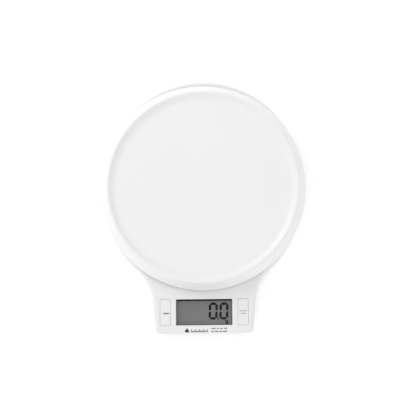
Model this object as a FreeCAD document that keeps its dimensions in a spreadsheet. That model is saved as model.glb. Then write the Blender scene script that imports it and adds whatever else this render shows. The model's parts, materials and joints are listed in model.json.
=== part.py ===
"""Round-pan electronic scale: moulded housing with a display neck, load cell, keys and battery bay.

Frame: +X right, -Y towards the display, +Z up, millimetres. The origin is on the surface that the
rubber feet rest on, under the middle of the object's length and width.
"""
import FreeCAD, Part
import math
import os
import re
import Sketcher

os.makedirs("parts", exist_ok=True)
doc = FreeCAD.newDocument("RoundPanScale")
vector = FreeCAD.Vector

# --------------------------------------------------------------------------------------------
# Driving dimensions
# --------------------------------------------------------------------------------------------
DIMENSIONS = [
    ("pan_centre_y", 15.0, "pan axis, forward or back of the origin"),
    ("pan_radius", 82.5, "pan, outer edge"),
    ("crest_radius", 75.6, "pan, raised crest"),
    ("dish_radius", 69.4, "pan, flat dish"),
    ("crest_top", 36.5, "height of the crest: the highest point"),
    ("dish_top", 33.9, "height of the dish"),
    ("pan_edge", 25.4, "height of the pan's lower edge"),
    ("pan_lip", 1.0, "upright lip at the pan's edge"),
    ("pan_wall", 2.2, "pan wall"),
    ("crest_rounding", 2.0, "radius of the pan's rounded crest"),
    ("rib_radius", 58.0, "ring rib under the pan"),
    ("rib_width", 1.6, "ring rib width"),
    ("rib_depth", 3.0, "ring rib depth"),
    ("pan_boss_radius", 4.0, "pan screw bosses"),
    ("pan_pilot_depth", 4.6, "holes in the pan screw bosses"),
    ("overlap", 0.5, "how far a boss runs into the wall that carries it"),
    ("oval_half_width", 81.8, "housing oval, half width"),
    ("oval_half_length", 86.7, "housing oval, half length"),
    ("oval_end_radius", 79.0, "housing oval, radius of its front and rear arcs"),
    ("neck_reach", 116.7, "pan axis to the neck's front edge"),
    ("neck_half_width", 39.0, "neck, half width at its front edge"),
    ("neck_taper", 0.081, "neck, widening of each side per mm"),
    ("flare_radius", 38.4, "concave arc from the neck into the oval"),
    ("corner_radius", 4.5, "neck's front corners"),
    ("housing_top", 24.0, "height of the housing's top face"),
    ("parting_height", 6.0, "height where upper and lower housing meet"),
    ("base_bottom", 2.0, "height of the lower housing's underside"),
    ("shell_wall", 2.0, "housing walls"),
    ("top_edge_radius", 3.0, "rounded top edge of the housing"),
    ("base_edge_radius", 1.0, "rounded bottom edge of the housing"),
    ("base_reveal", 0.4, "lower housing set in from the upper housing"),
    ("tongue_height", 2.0, "tongue of the lower housing inside the upper one"),
    ("tongue_clearance", 0.2, "gap between the tongue and the upper housing"),
    ("tongue_wall", 1.4, "tongue wall"),
    ("case_boss_radius", 3.5, "housing screw bosses under the top"),
    ("case_pilot_depth", 10.0, "holes in the housing screw bosses"),
    ("case_post_radius", 4.7, "housing screw posts on the base"),
    ("post_root", 1.5, "posts start this far above the base's underside"),
    ("board_post_radius", 3.2, "board screw posts"),
    ("board_pilot_depth", 7.0, "holes in the board screw posts"),
    ("label_y", -28.0, "rating label, forward or back of the origin"),
    ("label_width", 45.2, "rating label"),
    ("label_length", 25.2, "rating label, front to back"),
    ("label_thickness", 0.2, "rating label"),
    ("label_recess", 0.3, "recess for the rating label"),
    ("label_gap", 0.4, "gap round the rating label"),
    ("display_reach", 99.7, "pan axis to the middle of the display window"),
    ("window_width", 44.7, "display window"),
    ("window_length", 20.6, "display window, front to back"),
    ("window_chamfer", 0.35, "bevel round the display window"),
    ("lens_width", 48.4, "clear lens"),
    ("lens_length", 24.4, "clear lens, front to back"),
    ("lens_thickness", 1.0, "clear lens"),
    ("glass_width", 46.2, "display glass"),
    ("glass_length", 22.8, "display glass, front to back"),
    ("glass_thickness", 2.4, "display glass"),
    ("glass_top", 20.9, "height of the display glass's face"),
    ("frame_wall", 1.4, "display frame wall"),
    ("zebra_length", 42.0, "elastomer contact strip"),
    ("zebra_width", 2.0, "elastomer contact strip"),
    ("key_offset", 31.0, "keys, either side of the middle"),
    ("key_width", 8.0, "key cap"),
    ("key_length", 20.6, "key cap, front to back"),
    ("key_gap", 0.2, "gap round a key cap"),
    ("key_corner", 1.0, "key cap corners"),
    ("key_proud", 0.15, "key cap above the housing face"),
    ("key_edge_radius", 0.3, "rounded upper edge of a key cap"),
    ("key_flange", 1.3, "key flange under the housing, all round"),
    ("key_flange_gap", 0.4, "gap above the key flange"),
    ("key_flange_thickness", 1.2, "key flange"),
    ("stem_radius", 2.0, "key stem"),
    ("board_width", 71.0, "circuit board"),
    ("board_length", 37.0, "circuit board, front to back"),
    ("board_thickness", 1.6, "circuit board"),
    ("board_bottom", 12.0, "height of the board's underside"),
    ("board_reach", 95.0, "pan axis to the middle of the board"),
    ("switch_side", 6.0, "push switch"),
    ("switch_height", 3.5, "push switch body"),
    ("switch_well", 1.3, "depth of the plunger's hole"),
    ("plunger_radius", 1.7, "push switch plunger"),
    ("plunger_gap", 0.05, "gap round the plunger"),
    ("plunger_proud", 1.0, "plunger above its switch"),
    ("plunger_sunk", 0.5, "plunger inside its switch"),
    ("cell_length", 75.0, "load cell beam"),
    ("cell_side", 12.7, "load cell beam, width and height"),
    ("cell_bottom", 8.0, "height of the load cell's underside"),
    ("cell_bore_radius", 4.5, "load cell, the two cross bores"),
    ("cell_bore_offset", 7.5, "cross bores, either side of the middle"),
    ("cell_hole_inner", 21.0, "load cell screws, nearer the middle"),
    ("cell_hole_outer", 33.0, "load cell screws, nearer the ends"),
    ("cell_slot_height", 4.0, "slot that joins the cross bores"),
    ("cell_thread_depth", 9.0, "threads in the load cell's fixed end"),
    ("spacer_length", 22.0, "plate under the load cell's fixed end"),
    ("spacer_thickness", 1.5, "plate under the load cell's fixed end"),
    ("pedestal_width", 24.0, "pedestal under the load cell"),
    ("pedestal_length", 14.0, "pedestal under the load cell, front to back"),
    ("carrier_radius", 52.0, "pan carrier"),
    ("carrier_thickness", 2.4, "pan carrier"),
    ("carrier_bottom", 25.2, "height of the carrier's underside"),
    ("carrier_screw_radius", 45.0, "pan screws, from the pan axis"),
    ("carrier_head_depth", 1.2, "recess for a pan screw's head"),
    ("carrier_edge_radius", 0.6, "rounded upper edge of the carrier"),
    ("carrier_hole_radius", 9.0, "two large holes in the carrier"),
    ("carrier_hole_offset", 27.0, "large holes, from the pan axis"),
    ("hub_width", 22.0, "carrier hub"),
    ("hub_length", 12.0, "carrier hub, front to back"),
    ("hub_corner", 1.5, "carrier hub corners"),
    ("hub_thread_depth", 6.2, "threads in the carrier hub"),
    ("hub_gap", 2.5, "gap round the hub in the housing"),
    ("hub_centre_x", 27.0, "middle of the load cell's free end"),
    ("bay_reach", 49.0, "pan axis to the middle of the battery bay"),
    ("bay_width", 50.0, "battery bay inside"),
    ("bay_length", 23.0, "battery bay inside, front to back"),
    ("bay_wall", 1.5, "battery bay walls"),
    ("bay_ceiling", 15.2, "height of the bay's inner ceiling"),
    ("cell_battery_radius", 5.25, "dry cell"),
    ("cell_battery_length", 43.3, "dry cell without its terminal"),
    ("cell_battery_pitch", 11.2, "distance between the two dry cells"),
    ("cell_battery_height", 9.75, "height of the dry cells' axes"),
    ("cell_battery_shift", 0.9, "dry cells moved towards their terminals"),
    ("door_thickness", 1.8, "battery door"),
    ("door_gap", 0.3, "gap round the battery door"),
    ("tab_offset", 14.0, "door hinge tabs, either side of the middle"),
    ("tab_width", 7.0, "door hinge tabs"),
    ("tab_length", 3.0, "door hinge tabs, front to back"),
    ("tab_thickness", 1.1, "door hinge tabs"),
    ("tab_slot_length", 3.2, "slots for the tabs, front to back"),
    ("tab_slot_height", 2.8, "slots for the tabs"),
    ("tab_slot_gap", 0.8, "slots wider than the tabs"),
    ("scoop_width", 16.0, "finger scoop at the door's edge"),
    ("scoop_offset", 4.0, "finger scoop, from the battery bay"),
    ("scoop_depth", 1.0, "finger scoop"),
    ("contact_sheet", 0.4, "battery contact sheet"),
    ("contact_height", 9.0, "battery contacts"),
    ("contact_bottom", 5.4, "height of the battery contacts' lower edges"),
    ("contact_tab_width", 2.4, "solder tab of a battery contact"),
    ("contact_tab_length", 4.4, "solder tab of a battery contact"),
    ("contact_tab_bottom", 11.8, "height of the solder tabs"),
    ("contact_tab_gap", 0.2, "gap round a solder tab"),
    ("foot_radius", 6.0, "rubber foot"),
    ("foot_recess", 1.0, "foot recess depth"),
    ("foot_gap", 0.2, "gap round a foot"),
    ("foot_edge_radius", 0.6, "rounded lower edge of a foot"),
    ("foot_offset_x", 52.0, "feet, either side of the middle"),
    ("foot_offset_y", 48.0, "feet, in front of and behind the pan axis"),
    ("case_screw_radius", 1.5, "housing screw thread"),
    ("case_head_radius", 3.0, "housing screw head"),
    ("case_head_height", 2.4, "housing screw head"),
    ("cell_screw_radius", 2.0, "load cell screw thread"),
    ("cell_head_radius", 3.5, "load cell screw head"),
    ("cell_head_height", 2.6, "load cell screw head"),
    ("cell_head_recess", 3.0, "recess for a load cell screw head"),
    ("head_gap", 0.3, "gap round a screw head"),
    ("shank_gap", 0.2, "gap round a screw's shank"),
    ("recess_width", 0.8, "cross recess in a screw head"),
    ("recess_depth", 1.0, "cross recess in a screw head"),
    ("stop_radius", 1.5, "overload stop pin"),
    ("stop_gap", 0.9, "gap between the load cell and its stops"),
    ("stop_boss_wall", 1.2, "wall of a stop's boss"),
    ("stop_boss_height", 2.6, "height of a stop's boss"),
    ("lead_radius", 0.7, "battery lead"),
    ("cable_radius", 1.1, "load cell cable"),
]

sheet = doc.addObject("Spreadsheet::Sheet", "Dims")
for row, (alias, value, meaning) in enumerate(DIMENSIONS, start=1):
    sheet.set("A%d" % row, meaning)
    sheet.set("B%d" % row, str(value))
    sheet.setAlias("B%d" % row, alias)
doc.recompute()
DIM = {alias: float(sheet.get(alias)) for alias, _, _ in DIMENSIONS}

PAN_Y = DIM["pan_centre_y"]
DISPLAY_Y = PAN_Y - DIM["display_reach"]
BOARD_Y = PAN_Y - DIM["board_reach"]
BAY_Y = PAN_Y + DIM["bay_reach"]
CASE_SCREWS = [(side * x, y) for side in (1, -1) for x, y in ((66.0, 15.0), (42.0, -50.0), (22.0, 90.0))]
BOARD_SCREWS = [(33.0, -66.0), (-33.0, -66.0)]
FEET = [(x, PAN_Y + y)
        for x in (DIM["foot_offset_x"], -DIM["foot_offset_x"])
        for y in (DIM["foot_offset_y"], -DIM["foot_offset_y"])]
FIXED_HOLES = [(-DIM["cell_hole_outer"], PAN_Y), (-DIM["cell_hole_inner"], PAN_Y)]
FREE_HOLES = [(DIM["cell_hole_inner"], PAN_Y), (DIM["cell_hole_outer"], PAN_Y)]
STOPS = [(DIM["hub_centre_x"], PAN_Y + side * 4.4) for side in (1, -1)]
DOOR_TABS = [DIM["tab_offset"], -DIM["tab_offset"]]
LABEL_CORNER = 1.6
SPRING_WIRE = 0.35

nodes = []


def node(obj, label):
    """Names a finished sub-part and puts it on the list of files to write."""
    obj.Label = label
    nodes.append(obj)
    return obj


def dim(expression):
    """Turns words such as 'pan_wall * 2' into an expression on the spreadsheet's cells."""
    return re.sub(r"[a-z_]+", lambda word: "Dims." + word.group(), str(expression))


# --------------------------------------------------------------------------------------------
# Part primitives, with every size and place bound to the sheet
# --------------------------------------------------------------------------------------------
def place(obj, x, y, z):
    for axis, expression in zip("xyz", (x, y, z)):
        obj.setExpression("Placement.Base." + axis, dim(expression))


def box(name, size, centre, bottom):
    """A box centred on (x, y) that stands on height `bottom`; all are words or numbers."""
    obj = doc.addObject("Part::Box", name)
    for prop, expression in zip(("Length", "Width", "Height"), size):
        obj.setExpression(prop, dim(expression))
    low = ["(%s) - (%s) / 2" % pair for pair in zip(centre, size)]
    place(obj, low[0], low[1], bottom)
    return obj


def cylinder(name, radius, height, centre, bottom):
    """An upright cylinder on axis (x, y) that stands on height `bottom`."""
    obj = doc.addObject("Part::Cylinder", name)
    obj.setExpression("Radius", dim(radius))
    obj.setExpression("Height", dim(height))
    place(obj, centre[0], centre[1], bottom)
    return obj


def cross_cylinder(name, radius, length, start, axis):
    """A level cylinder from the point `start` along axis 'X' or 'Y'."""
    obj = doc.addObject("Part::Cylinder", name)
    obj.setExpression("Radius", dim(radius))
    obj.setExpression("Height", dim(length))
    turn = {"X": (vector(0, 1, 0), 90), "Y": (vector(1, 0, 0), -90)}[axis]
    obj.Placement.Rotation = FreeCAD.Rotation(*turn)
    place(obj, *start)
    return obj


def cut(name, base, *tools):
    tool = tools[0] if len(tools) == 1 else fuse(name + "_tools", *tools)
    obj = doc.addObject("Part::Cut", name)
    obj.Base = base
    obj.Tool = tool
    return obj


def fuse(name, *shapes):
    obj = doc.addObject("Part::MultiFuse", name)
    obj.Shapes = list(shapes)
    return obj


def group(name, shapes):
    """Identical pieces that share one node, each a solid of its own."""
    obj = doc.addObject("Part::Compound", name)
    obj.Links = list(shapes)
    return obj


# --------------------------------------------------------------------------------------------
# PartDesign helpers
# --------------------------------------------------------------------------------------------
def new_body(name):
    return doc.addObject("PartDesign::Body", name)


def origin_feature(body, role):
    return next(f for f in body.Origin.OriginFeatures if f.Role == role)


def new_sketch(body, name, height, plane="XY_Plane"):
    sketch = body.newObject("Sketcher::SketchObject", name)
    sketch.AttachmentSupport = [(origin_feature(body, plane), "")]
    sketch.MapMode = "FlatFace"
    sketch.setExpression("AttachmentOffset.Base.z", dim(height))
    return sketch


def circles(sketch, centres, radius):
    for x, y in centres:
        index = sketch.addGeometry(Part.Circle(vector(x, y, 0), vector(0, 0, 1), 1.0), False)
        constraint = sketch.addConstraint(Sketcher.Constraint("Radius", index, 1.0))
        sketch.setExpression("Constraints[%d]" % constraint, dim(radius))


def rectangle(sketch, x, y, width, length):
    """A rectangle centred on (x, y), its two sizes bound to the sheet."""
    corners = [vector(x + i, y + j, 0) for i, j in ((-1, -1), (1, -1), (1, 1), (-1, 1))]
    first = sketch.GeometryCount
    for start in range(4):
        sketch.addGeometry(Part.LineSegment(corners[start], corners[(start + 1) % 4]), False)
    for step in range(4):
        joint = (first + step, 2, first + (step + 1) % 4, 1)
        sketch.addConstraint(Sketcher.Constraint("Coincident", *joint))
        direction = "Horizontal" if step % 2 == 0 else "Vertical"
        sketch.addConstraint(Sketcher.Constraint(direction, first + step))
    middle = sketch.addGeometry(Part.Point(vector(x, y, 0)), True)
    sketch.addConstraint(Sketcher.Constraint("Symmetric", first, 1, first + 1, 2, middle, 1))
    sketch.addConstraint(Sketcher.Constraint("Block", middle))
    for side, kind, size in ((first, "DistanceX", width), (first + 1, "DistanceY", length)):
        constraint = sketch.addConstraint(Sketcher.Constraint(kind, side, 1, side, 2, 2.0))
        sketch.setExpression("Constraints[%d]" % constraint, dim(size))


def arc_between(centre, radius, start, end):
    """The shorter arc about `centre` between the directions of two points."""
    first = math.atan2(start.y - centre.y, start.x - centre.x)
    last = math.atan2(end.y - centre.y, end.x - centre.x)
    if (last - first) % (2 * math.pi) > math.pi:
        first, last = last, first
    if last < first:
        last += 2 * math.pi
    return Part.ArcOfCircle(Part.Circle(centre, vector(0, 0, 1), radius), first, last)


def rounded_rectangle(sketch, x, y, width, length, radius):
    """A rectangle centred on (x, y) with round corners."""
    half_x = width / 2 - radius
    half_y = length / 2 - radius
    turns = [vector(1, 0, 0), vector(0, 1, 0), vector(-1, 0, 0), vector(0, -1, 0)]
    centres = [vector(x + i * half_x, y + j * half_y, 0) for i, j in ((1, 1), (-1, 1), (-1, -1), (1, -1))]
    for index, centre in enumerate(centres):
        start = centre + turns[index] * radius
        end = centre + turns[(index + 1) % 4] * radius
        following = centres[(index + 1) % 4] + turns[(index + 1) % 4] * radius
        sketch.addGeometry(arc_between(centre, radius, start, end), False)
        sketch.addGeometry(Part.LineSegment(end, following), False)


def housing_outline(sketch, inset):
    """The housing in plan: an oval of four arcs, and the neck that flares out of its front.

    `inset` moves every line and arc inwards, so walls keep one thickness all round.
    """
    half_width = DIM["oval_half_width"]
    end_radius = DIM["oval_end_radius"]
    shift = DIM["oval_half_length"] - end_radius
    side_radius = (half_width ** 2 - end_radius ** 2 + shift ** 2) / (2 * (half_width - end_radius))
    rear = vector(0, PAN_Y + shift, 0)
    front = vector(0, PAN_Y - shift, 0)
    front_y = PAN_Y - DIM["neck_reach"]
    flare = DIM["flare_radius"]
    corner = DIM["corner_radius"]
    rear_ends = []
    front_ends = []
    for side in (1, -1):
        side_centre = vector(side * (half_width - side_radius), PAN_Y, 0)
        rear_point = rear + (rear - side_centre).normalize() * (end_radius - inset)
        front_point = front + (front - side_centre).normalize() * (end_radius - inset)
        along = vector(side * DIM["neck_taper"], 1, 0).normalize()
        outward = vector(side, -DIM["neck_taper"], 0).normalize()
        foot = vector(side * DIM["neck_half_width"], front_y, 0)
        # The flare's centre lies one flare radius off the neck's side and touches the front arc.
        reach = foot + outward * flare - front
        spread = math.sqrt(reach.dot(along) ** 2 - reach.Length ** 2 + (end_radius + flare) ** 2)
        flare_centre = foot + outward * flare + along * (-reach.dot(along) - spread)
        flare_low = flare_centre - outward * (flare + inset)
        flare_high = front + (flare_centre - front).normalize() * (end_radius - inset)
        corner_centre = foot - outward * corner
        corner_centre = corner_centre + along * ((front_y + corner - corner_centre.y) / along.y)
        corner_side = corner_centre + outward * (corner - inset)
        corner_front = corner_centre - vector(0, corner - inset, 0)
        sketch.addGeometry(arc_between(corner_centre, corner - inset, corner_front, corner_side), False)
        sketch.addGeometry(Part.LineSegment(corner_side, flare_low), False)
        sketch.addGeometry(arc_between(flare_centre, flare + inset, flare_low, flare_high), False)
        sketch.addGeometry(arc_between(front, end_radius - inset, flare_high, front_point), False)
        sketch.addGeometry(arc_between(side_centre, side_radius - inset, front_point, rear_point), False)
        rear_ends.append(rear_point)
        front_ends.append(corner_front)
    sketch.addGeometry(arc_between(rear, end_radius - inset, rear_ends[0], rear_ends[1]), False)
    sketch.addGeometry(Part.LineSegment(front_ends[0], front_ends[1]), False)


def volume(body):
    doc.recompute()
    return body.Shape.Volume


def pad(body, sketch, length, upwards=True):
    feature = body.newObject("PartDesign::Pad", sketch.Name + "_pad")
    feature.Profile = sketch
    feature.Reversed = not upwards
    feature.setExpression("Length", dim(length))
    doc.recompute()
    return feature


def pocket(body, sketch, depth, upwards=False):
    """Cuts a sketch out of the body, down from its height or, if `upwards`, up from it."""
    before = volume(body)
    feature = body.newObject("PartDesign::Pocket", sketch.Name + "_pocket")
    feature.Profile = sketch
    feature.Reversed = upwards
    feature.setExpression("Length", dim(depth))
    if volume(body) > before - 1e-6:
        raise RuntimeError("nothing was cut by " + feature.Name)
    return feature


def level_edges(feature, height, keep=lambda edge: True):
    """Names of the edges that lie at one height."""
    names = []
    for index, edge in enumerate(feature.Shape.Edges, start=1):
        flat = all(abs(point.z - height) < 1e-6 for point in edge.discretize(3))
        if flat and keep(edge):
            names.append("Edge%d" % index)
    return names


def dress(body, kind, base, edges, prop, size):
    """A PartDesign::Fillet or Chamfer on named edges."""
    feature = body.newObject("PartDesign::" + kind, base.Name + "_" + kind.lower())
    feature.Base = (base, edges)
    feature.setExpression(prop, dim(size))
    doc.recompute()
    return feature


def polar_pattern(body, feature, count):
    pattern = body.newObject("PartDesign::PolarPattern", feature.Name + "_pattern")
    pattern.Originals = [feature]
    pattern.Axis = (origin_feature(body, "Z_Axis"), [""])
    pattern.Angle = 360
    pattern.Occurrences = count
    body.Tip = pattern
    doc.recompute()
    return pattern


# --------------------------------------------------------------------------------------------
# Weighing platform: pan, carrier and their screws
# --------------------------------------------------------------------------------------------
def make_weighing_pan():
    """A turned dish with a rounded crest and a conical flank, and four screw bosses under it.

    The slope is an arc tangent to the dish and to the crest; the flank is tangent to the crest.
    """
    body = new_body("PanBody")
    profile = body.newObject("Sketcher::SketchObject", "pan_profile")
    profile.AttachmentSupport = [(origin_feature(body, "XZ_Plane"), "")]
    profile.MapMode = "FlatFace"
    wall = DIM["pan_wall"]
    rounding = DIM["crest_rounding"]
    rise = DIM["crest_top"] - DIM["dish_top"]
    run = DIM["crest_radius"] - DIM["dish_radius"]
    slope_radius = (run ** 2 + rise ** 2) / (2 * rise) - rounding
    dish_end = vector(DIM["dish_radius"], DIM["dish_top"], 0)
    slope_centre = dish_end + vector(0, slope_radius, 0)
    crest_centre = vector(DIM["crest_radius"], DIM["crest_top"] - rounding, 0)
    crest_inner = slope_centre + (crest_centre - slope_centre).normalize() * slope_radius
    edge_top = vector(DIM["pan_radius"], DIM["pan_edge"] + DIM["pan_lip"], 0)
    to_edge = edge_top - crest_centre
    turn = math.atan2(to_edge.y, to_edge.x) + math.acos(rounding / to_edge.Length)
    crest_outer = crest_centre + vector(math.cos(turn), math.sin(turn), 0) * rounding
    edge_low = edge_top - vector(0, DIM["pan_lip"], 0)
    inner_low = edge_low - vector(0.75 * wall, 0, 0)
    inner_lip = inner_low + vector(0, DIM["pan_lip"], 0)
    under_crest = vector(DIM["crest_radius"] - 0.1 * wall, DIM["crest_top"] - 1.2 * wall, 0)
    under_slope = vector(DIM["dish_radius"] + 1.0, DIM["dish_top"] - wall, 0)
    rib_outer = vector(DIM["rib_radius"] + DIM["rib_width"] / 2, under_slope.y, 0)
    rib_inner = vector(DIM["rib_radius"] - DIM["rib_width"] / 2, under_slope.y, 0)
    drop = vector(0, DIM["rib_depth"], 0)
    axis_low = vector(0, DIM["dish_top"] - wall, 0)
    axis_top = vector(0, DIM["dish_top"], 0)
    profile.addGeometry(Part.LineSegment(axis_top, dish_end), False)
    profile.addGeometry(arc_between(slope_centre, slope_radius, dish_end, crest_inner), False)
    profile.addGeometry(arc_between(crest_centre, rounding, crest_outer, crest_inner), False)
    corners = [crest_outer, edge_top, edge_low, inner_low, inner_lip, under_crest, under_slope,
               rib_outer, rib_outer - drop, rib_inner - drop, rib_inner, axis_low, axis_top]
    for start, end in zip(corners, corners[1:]):
        profile.addGeometry(Part.LineSegment(start, end), False)
    turned = body.newObject("PartDesign::Revolution", "pan_turned")
    turned.Profile = profile
    turned.ReferenceAxis = (profile, ["V_Axis"])
    turned.Angle = 360
    doc.recompute()
    boss_sketch = new_sketch(body, "pan_boss", "carrier_bottom + carrier_thickness")
    at_45 = DIM["carrier_screw_radius"] * math.sqrt(0.5)
    circles(boss_sketch, [(at_45, at_45)], "pan_boss_radius")
    boss = pad(body, boss_sketch, "dish_top - pan_wall - carrier_bottom - carrier_thickness + overlap")
    polar_pattern(body, boss, 4)
    hole_sketch = new_sketch(body, "pan_boss_hole", "carrier_bottom + carrier_thickness")
    circles(hole_sketch, [(at_45, at_45)], "case_screw_radius")
    hole = pocket(body, hole_sketch, "pan_pilot_depth", upwards=True)
    polar_pattern(body, hole, 4)
    body.setExpression("Placement.Base.y", dim("pan_centre_y"))
    return node(body, "weighing_pan")


def make_pan_carrier():
    """The spoked disc that carries the pan, and the hub that stands on the load cell's free end."""
    body = new_body("CarrierBody")
    disc_sketch = new_sketch(body, "carrier_disc", "carrier_bottom")
    circles(disc_sketch, [(0, 0)], "carrier_radius")
    disc = pad(body, disc_sketch, "carrier_thickness")
    dress(body, "Fillet", disc, level_edges(disc, DIM["carrier_bottom"] + DIM["carrier_thickness"]),
          "Radius", "carrier_edge_radius")
    hub_sketch = new_sketch(body, "carrier_hub", "cell_bottom + cell_side")
    rounded_rectangle(hub_sketch, DIM["hub_centre_x"], 0, DIM["hub_width"], DIM["hub_length"],
                      DIM["hub_corner"])
    pad(body, hub_sketch, "carrier_bottom - cell_bottom - cell_side + overlap")
    thread_sketch = new_sketch(body, "carrier_thread", "cell_bottom + cell_side")
    circles(thread_sketch, [(x, 0) for x, _ in FREE_HOLES], "cell_screw_radius")
    pocket(body, thread_sketch, "hub_thread_depth", upwards=True)
    screw_sketch = new_sketch(body, "carrier_screw_hole", "carrier_bottom")
    at_45 = DIM["carrier_screw_radius"] * math.sqrt(0.5)
    circles(screw_sketch, [(at_45, at_45)], "case_screw_radius + shank_gap")
    polar_pattern(body, pocket(body, screw_sketch, "carrier_thickness", upwards=True), 4)
    recess_sketch = new_sketch(body, "carrier_head_recess", "carrier_bottom")
    circles(recess_sketch, [(at_45, at_45)], "case_head_radius")
    polar_pattern(body, pocket(body, recess_sketch, "carrier_head_depth", upwards=True), 4)
    window_sketch = new_sketch(body, "carrier_lightening", "carrier_bottom")
    circles(window_sketch, [(0, DIM["carrier_hole_offset"])], "carrier_hole_radius")
    polar_pattern(body, pocket(body, window_sketch, "carrier_thickness", upwards=True), 2)
    body.setExpression("Placement.Base.y", dim("pan_centre_y"))
    return node(body, "pan_carrier")


def screw(name, thread_radius, thread_length, head_radius, head_height, centre, seat):
    """An upright screw: its head hangs below height `seat` and its thread stands above it."""
    head = cylinder(name + "_head", head_radius, head_height, centre, "(%s) - (%s)" % (seat, head_height))
    shank = cylinder(name + "_shank", thread_radius, thread_length, centre, seat)
    arm = "(%s) * 1.2" % head_radius
    bottom = "(%s) - (%s)" % (seat, head_height)
    across = box(name + "_slot_x", (arm, "recess_width", "recess_depth"), centre, bottom)
    along = box(name + "_slot_y", ("recess_width", arm, "recess_depth"), centre, bottom)
    return cut(name, fuse(name + "_blank", head, shank), across, along)


def make_screws():
    at_45 = DIM["carrier_screw_radius"] * math.sqrt(0.5)
    pan_points = [(i * at_45, PAN_Y + j * at_45) for i in (1, -1) for j in (1, -1)]
    rows = [
        ("pan_screws", "case_screw_radius", "carrier_thickness - carrier_head_depth + 4.2",
         "case_head_radius - 0.4", 1.1, pan_points, "carrier_bottom + carrier_head_depth"),
        ("carrier_screws", "cell_screw_radius", "cell_side + 5.8", "cell_head_radius", "cell_head_height",
         FREE_HOLES, "cell_bottom"),
        ("load_cell_screws", "cell_screw_radius", 11.0, "cell_head_radius", "cell_head_height",
         FIXED_HOLES, "base_bottom + cell_head_recess"),
        ("housing_screws", "case_screw_radius", 11.0, "case_head_radius", "case_head_height",
         CASE_SCREWS, "parting_height"),
        ("board_screws", "case_screw_radius", 8.0, "case_head_radius - 0.2", 1.8,
         BOARD_SCREWS, "board_bottom"),
    ]
    for label, thread, length, head, height, points, seat in rows:
        pieces = [screw("%s_%d" % (label, index), thread, length, head, height, point, seat)
                  for index, point in enumerate(points, start=1)]
        node(group(label + "_group", pieces), label)


# --------------------------------------------------------------------------------------------
# Housing
# --------------------------------------------------------------------------------------------
def make_upper_housing():
    body = new_body("UpperHousingBody")
    outer = new_sketch(body, "upper_outline", "parting_height")
    housing_outline(outer, 0.0)
    block = pad(body, outer, "housing_top - parting_height")
    dress(body, "Fillet", block, level_edges(block, DIM["housing_top"]), "Radius", "top_edge_radius")
    inner = new_sketch(body, "upper_hollow", "parting_height")
    housing_outline(inner, DIM["shell_wall"])
    pocket(body, inner, "housing_top - shell_wall - parting_height", upwards=True)
    bosses = new_sketch(body, "screw_bosses", "parting_height + tongue_height")
    circles(bosses, CASE_SCREWS, "case_boss_radius")
    pad(body, bosses, "housing_top - shell_wall - parting_height - tongue_height + overlap")
    pilots = new_sketch(body, "screw_pilots", "parting_height + tongue_height")
    circles(pilots, CASE_SCREWS, "case_screw_radius")
    pocket(body, pilots, "case_pilot_depth", upwards=True)
    posts = new_sketch(body, "board_posts", "board_bottom + board_thickness")
    circles(posts, BOARD_SCREWS, "board_post_radius")
    pad(body, posts, "housing_top - shell_wall - board_bottom - board_thickness + overlap")
    post_pilots = new_sketch(body, "board_pilots", "board_bottom + board_thickness")
    circles(post_pilots, BOARD_SCREWS, "case_screw_radius")
    pocket(body, post_pilots, "board_pilot_depth", upwards=True)
    hub = new_sketch(body, "hub_opening", "housing_top")
    rounded_rectangle(hub, DIM["hub_centre_x"], PAN_Y, DIM["hub_width"] + 2 * DIM["hub_gap"],
                      DIM["hub_length"] + 2 * DIM["hub_gap"], 2 * DIM["hub_corner"])
    pocket(body, hub, "shell_wall")
    keys = new_sketch(body, "key_openings", "housing_top")
    for side in (1, -1):
        rounded_rectangle(keys, side * DIM["key_offset"], DISPLAY_Y, DIM["key_width"] + 2 * DIM["key_gap"],
                          DIM["key_length"] + 2 * DIM["key_gap"], DIM["key_corner"] + DIM["key_gap"])
    pocket(body, keys, "shell_wall")
    window = new_sketch(body, "display_window", "housing_top")
    rectangle(window, 0, DISPLAY_Y, "window_width", "window_length")
    opened = pocket(body, window, "shell_wall")
    rim = level_edges(opened, DIM["housing_top"], lambda edge: (
        abs(edge.CenterOfMass.x) <= DIM["window_width"] / 2 + 0.01
        and abs(edge.CenterOfMass.y - DISPLAY_Y) <= DIM["window_length"] / 2 + 0.01))
    dress(body, "Chamfer", opened, rim, "Size", "window_chamfer")
    return node(body, "upper_housing")


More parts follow.
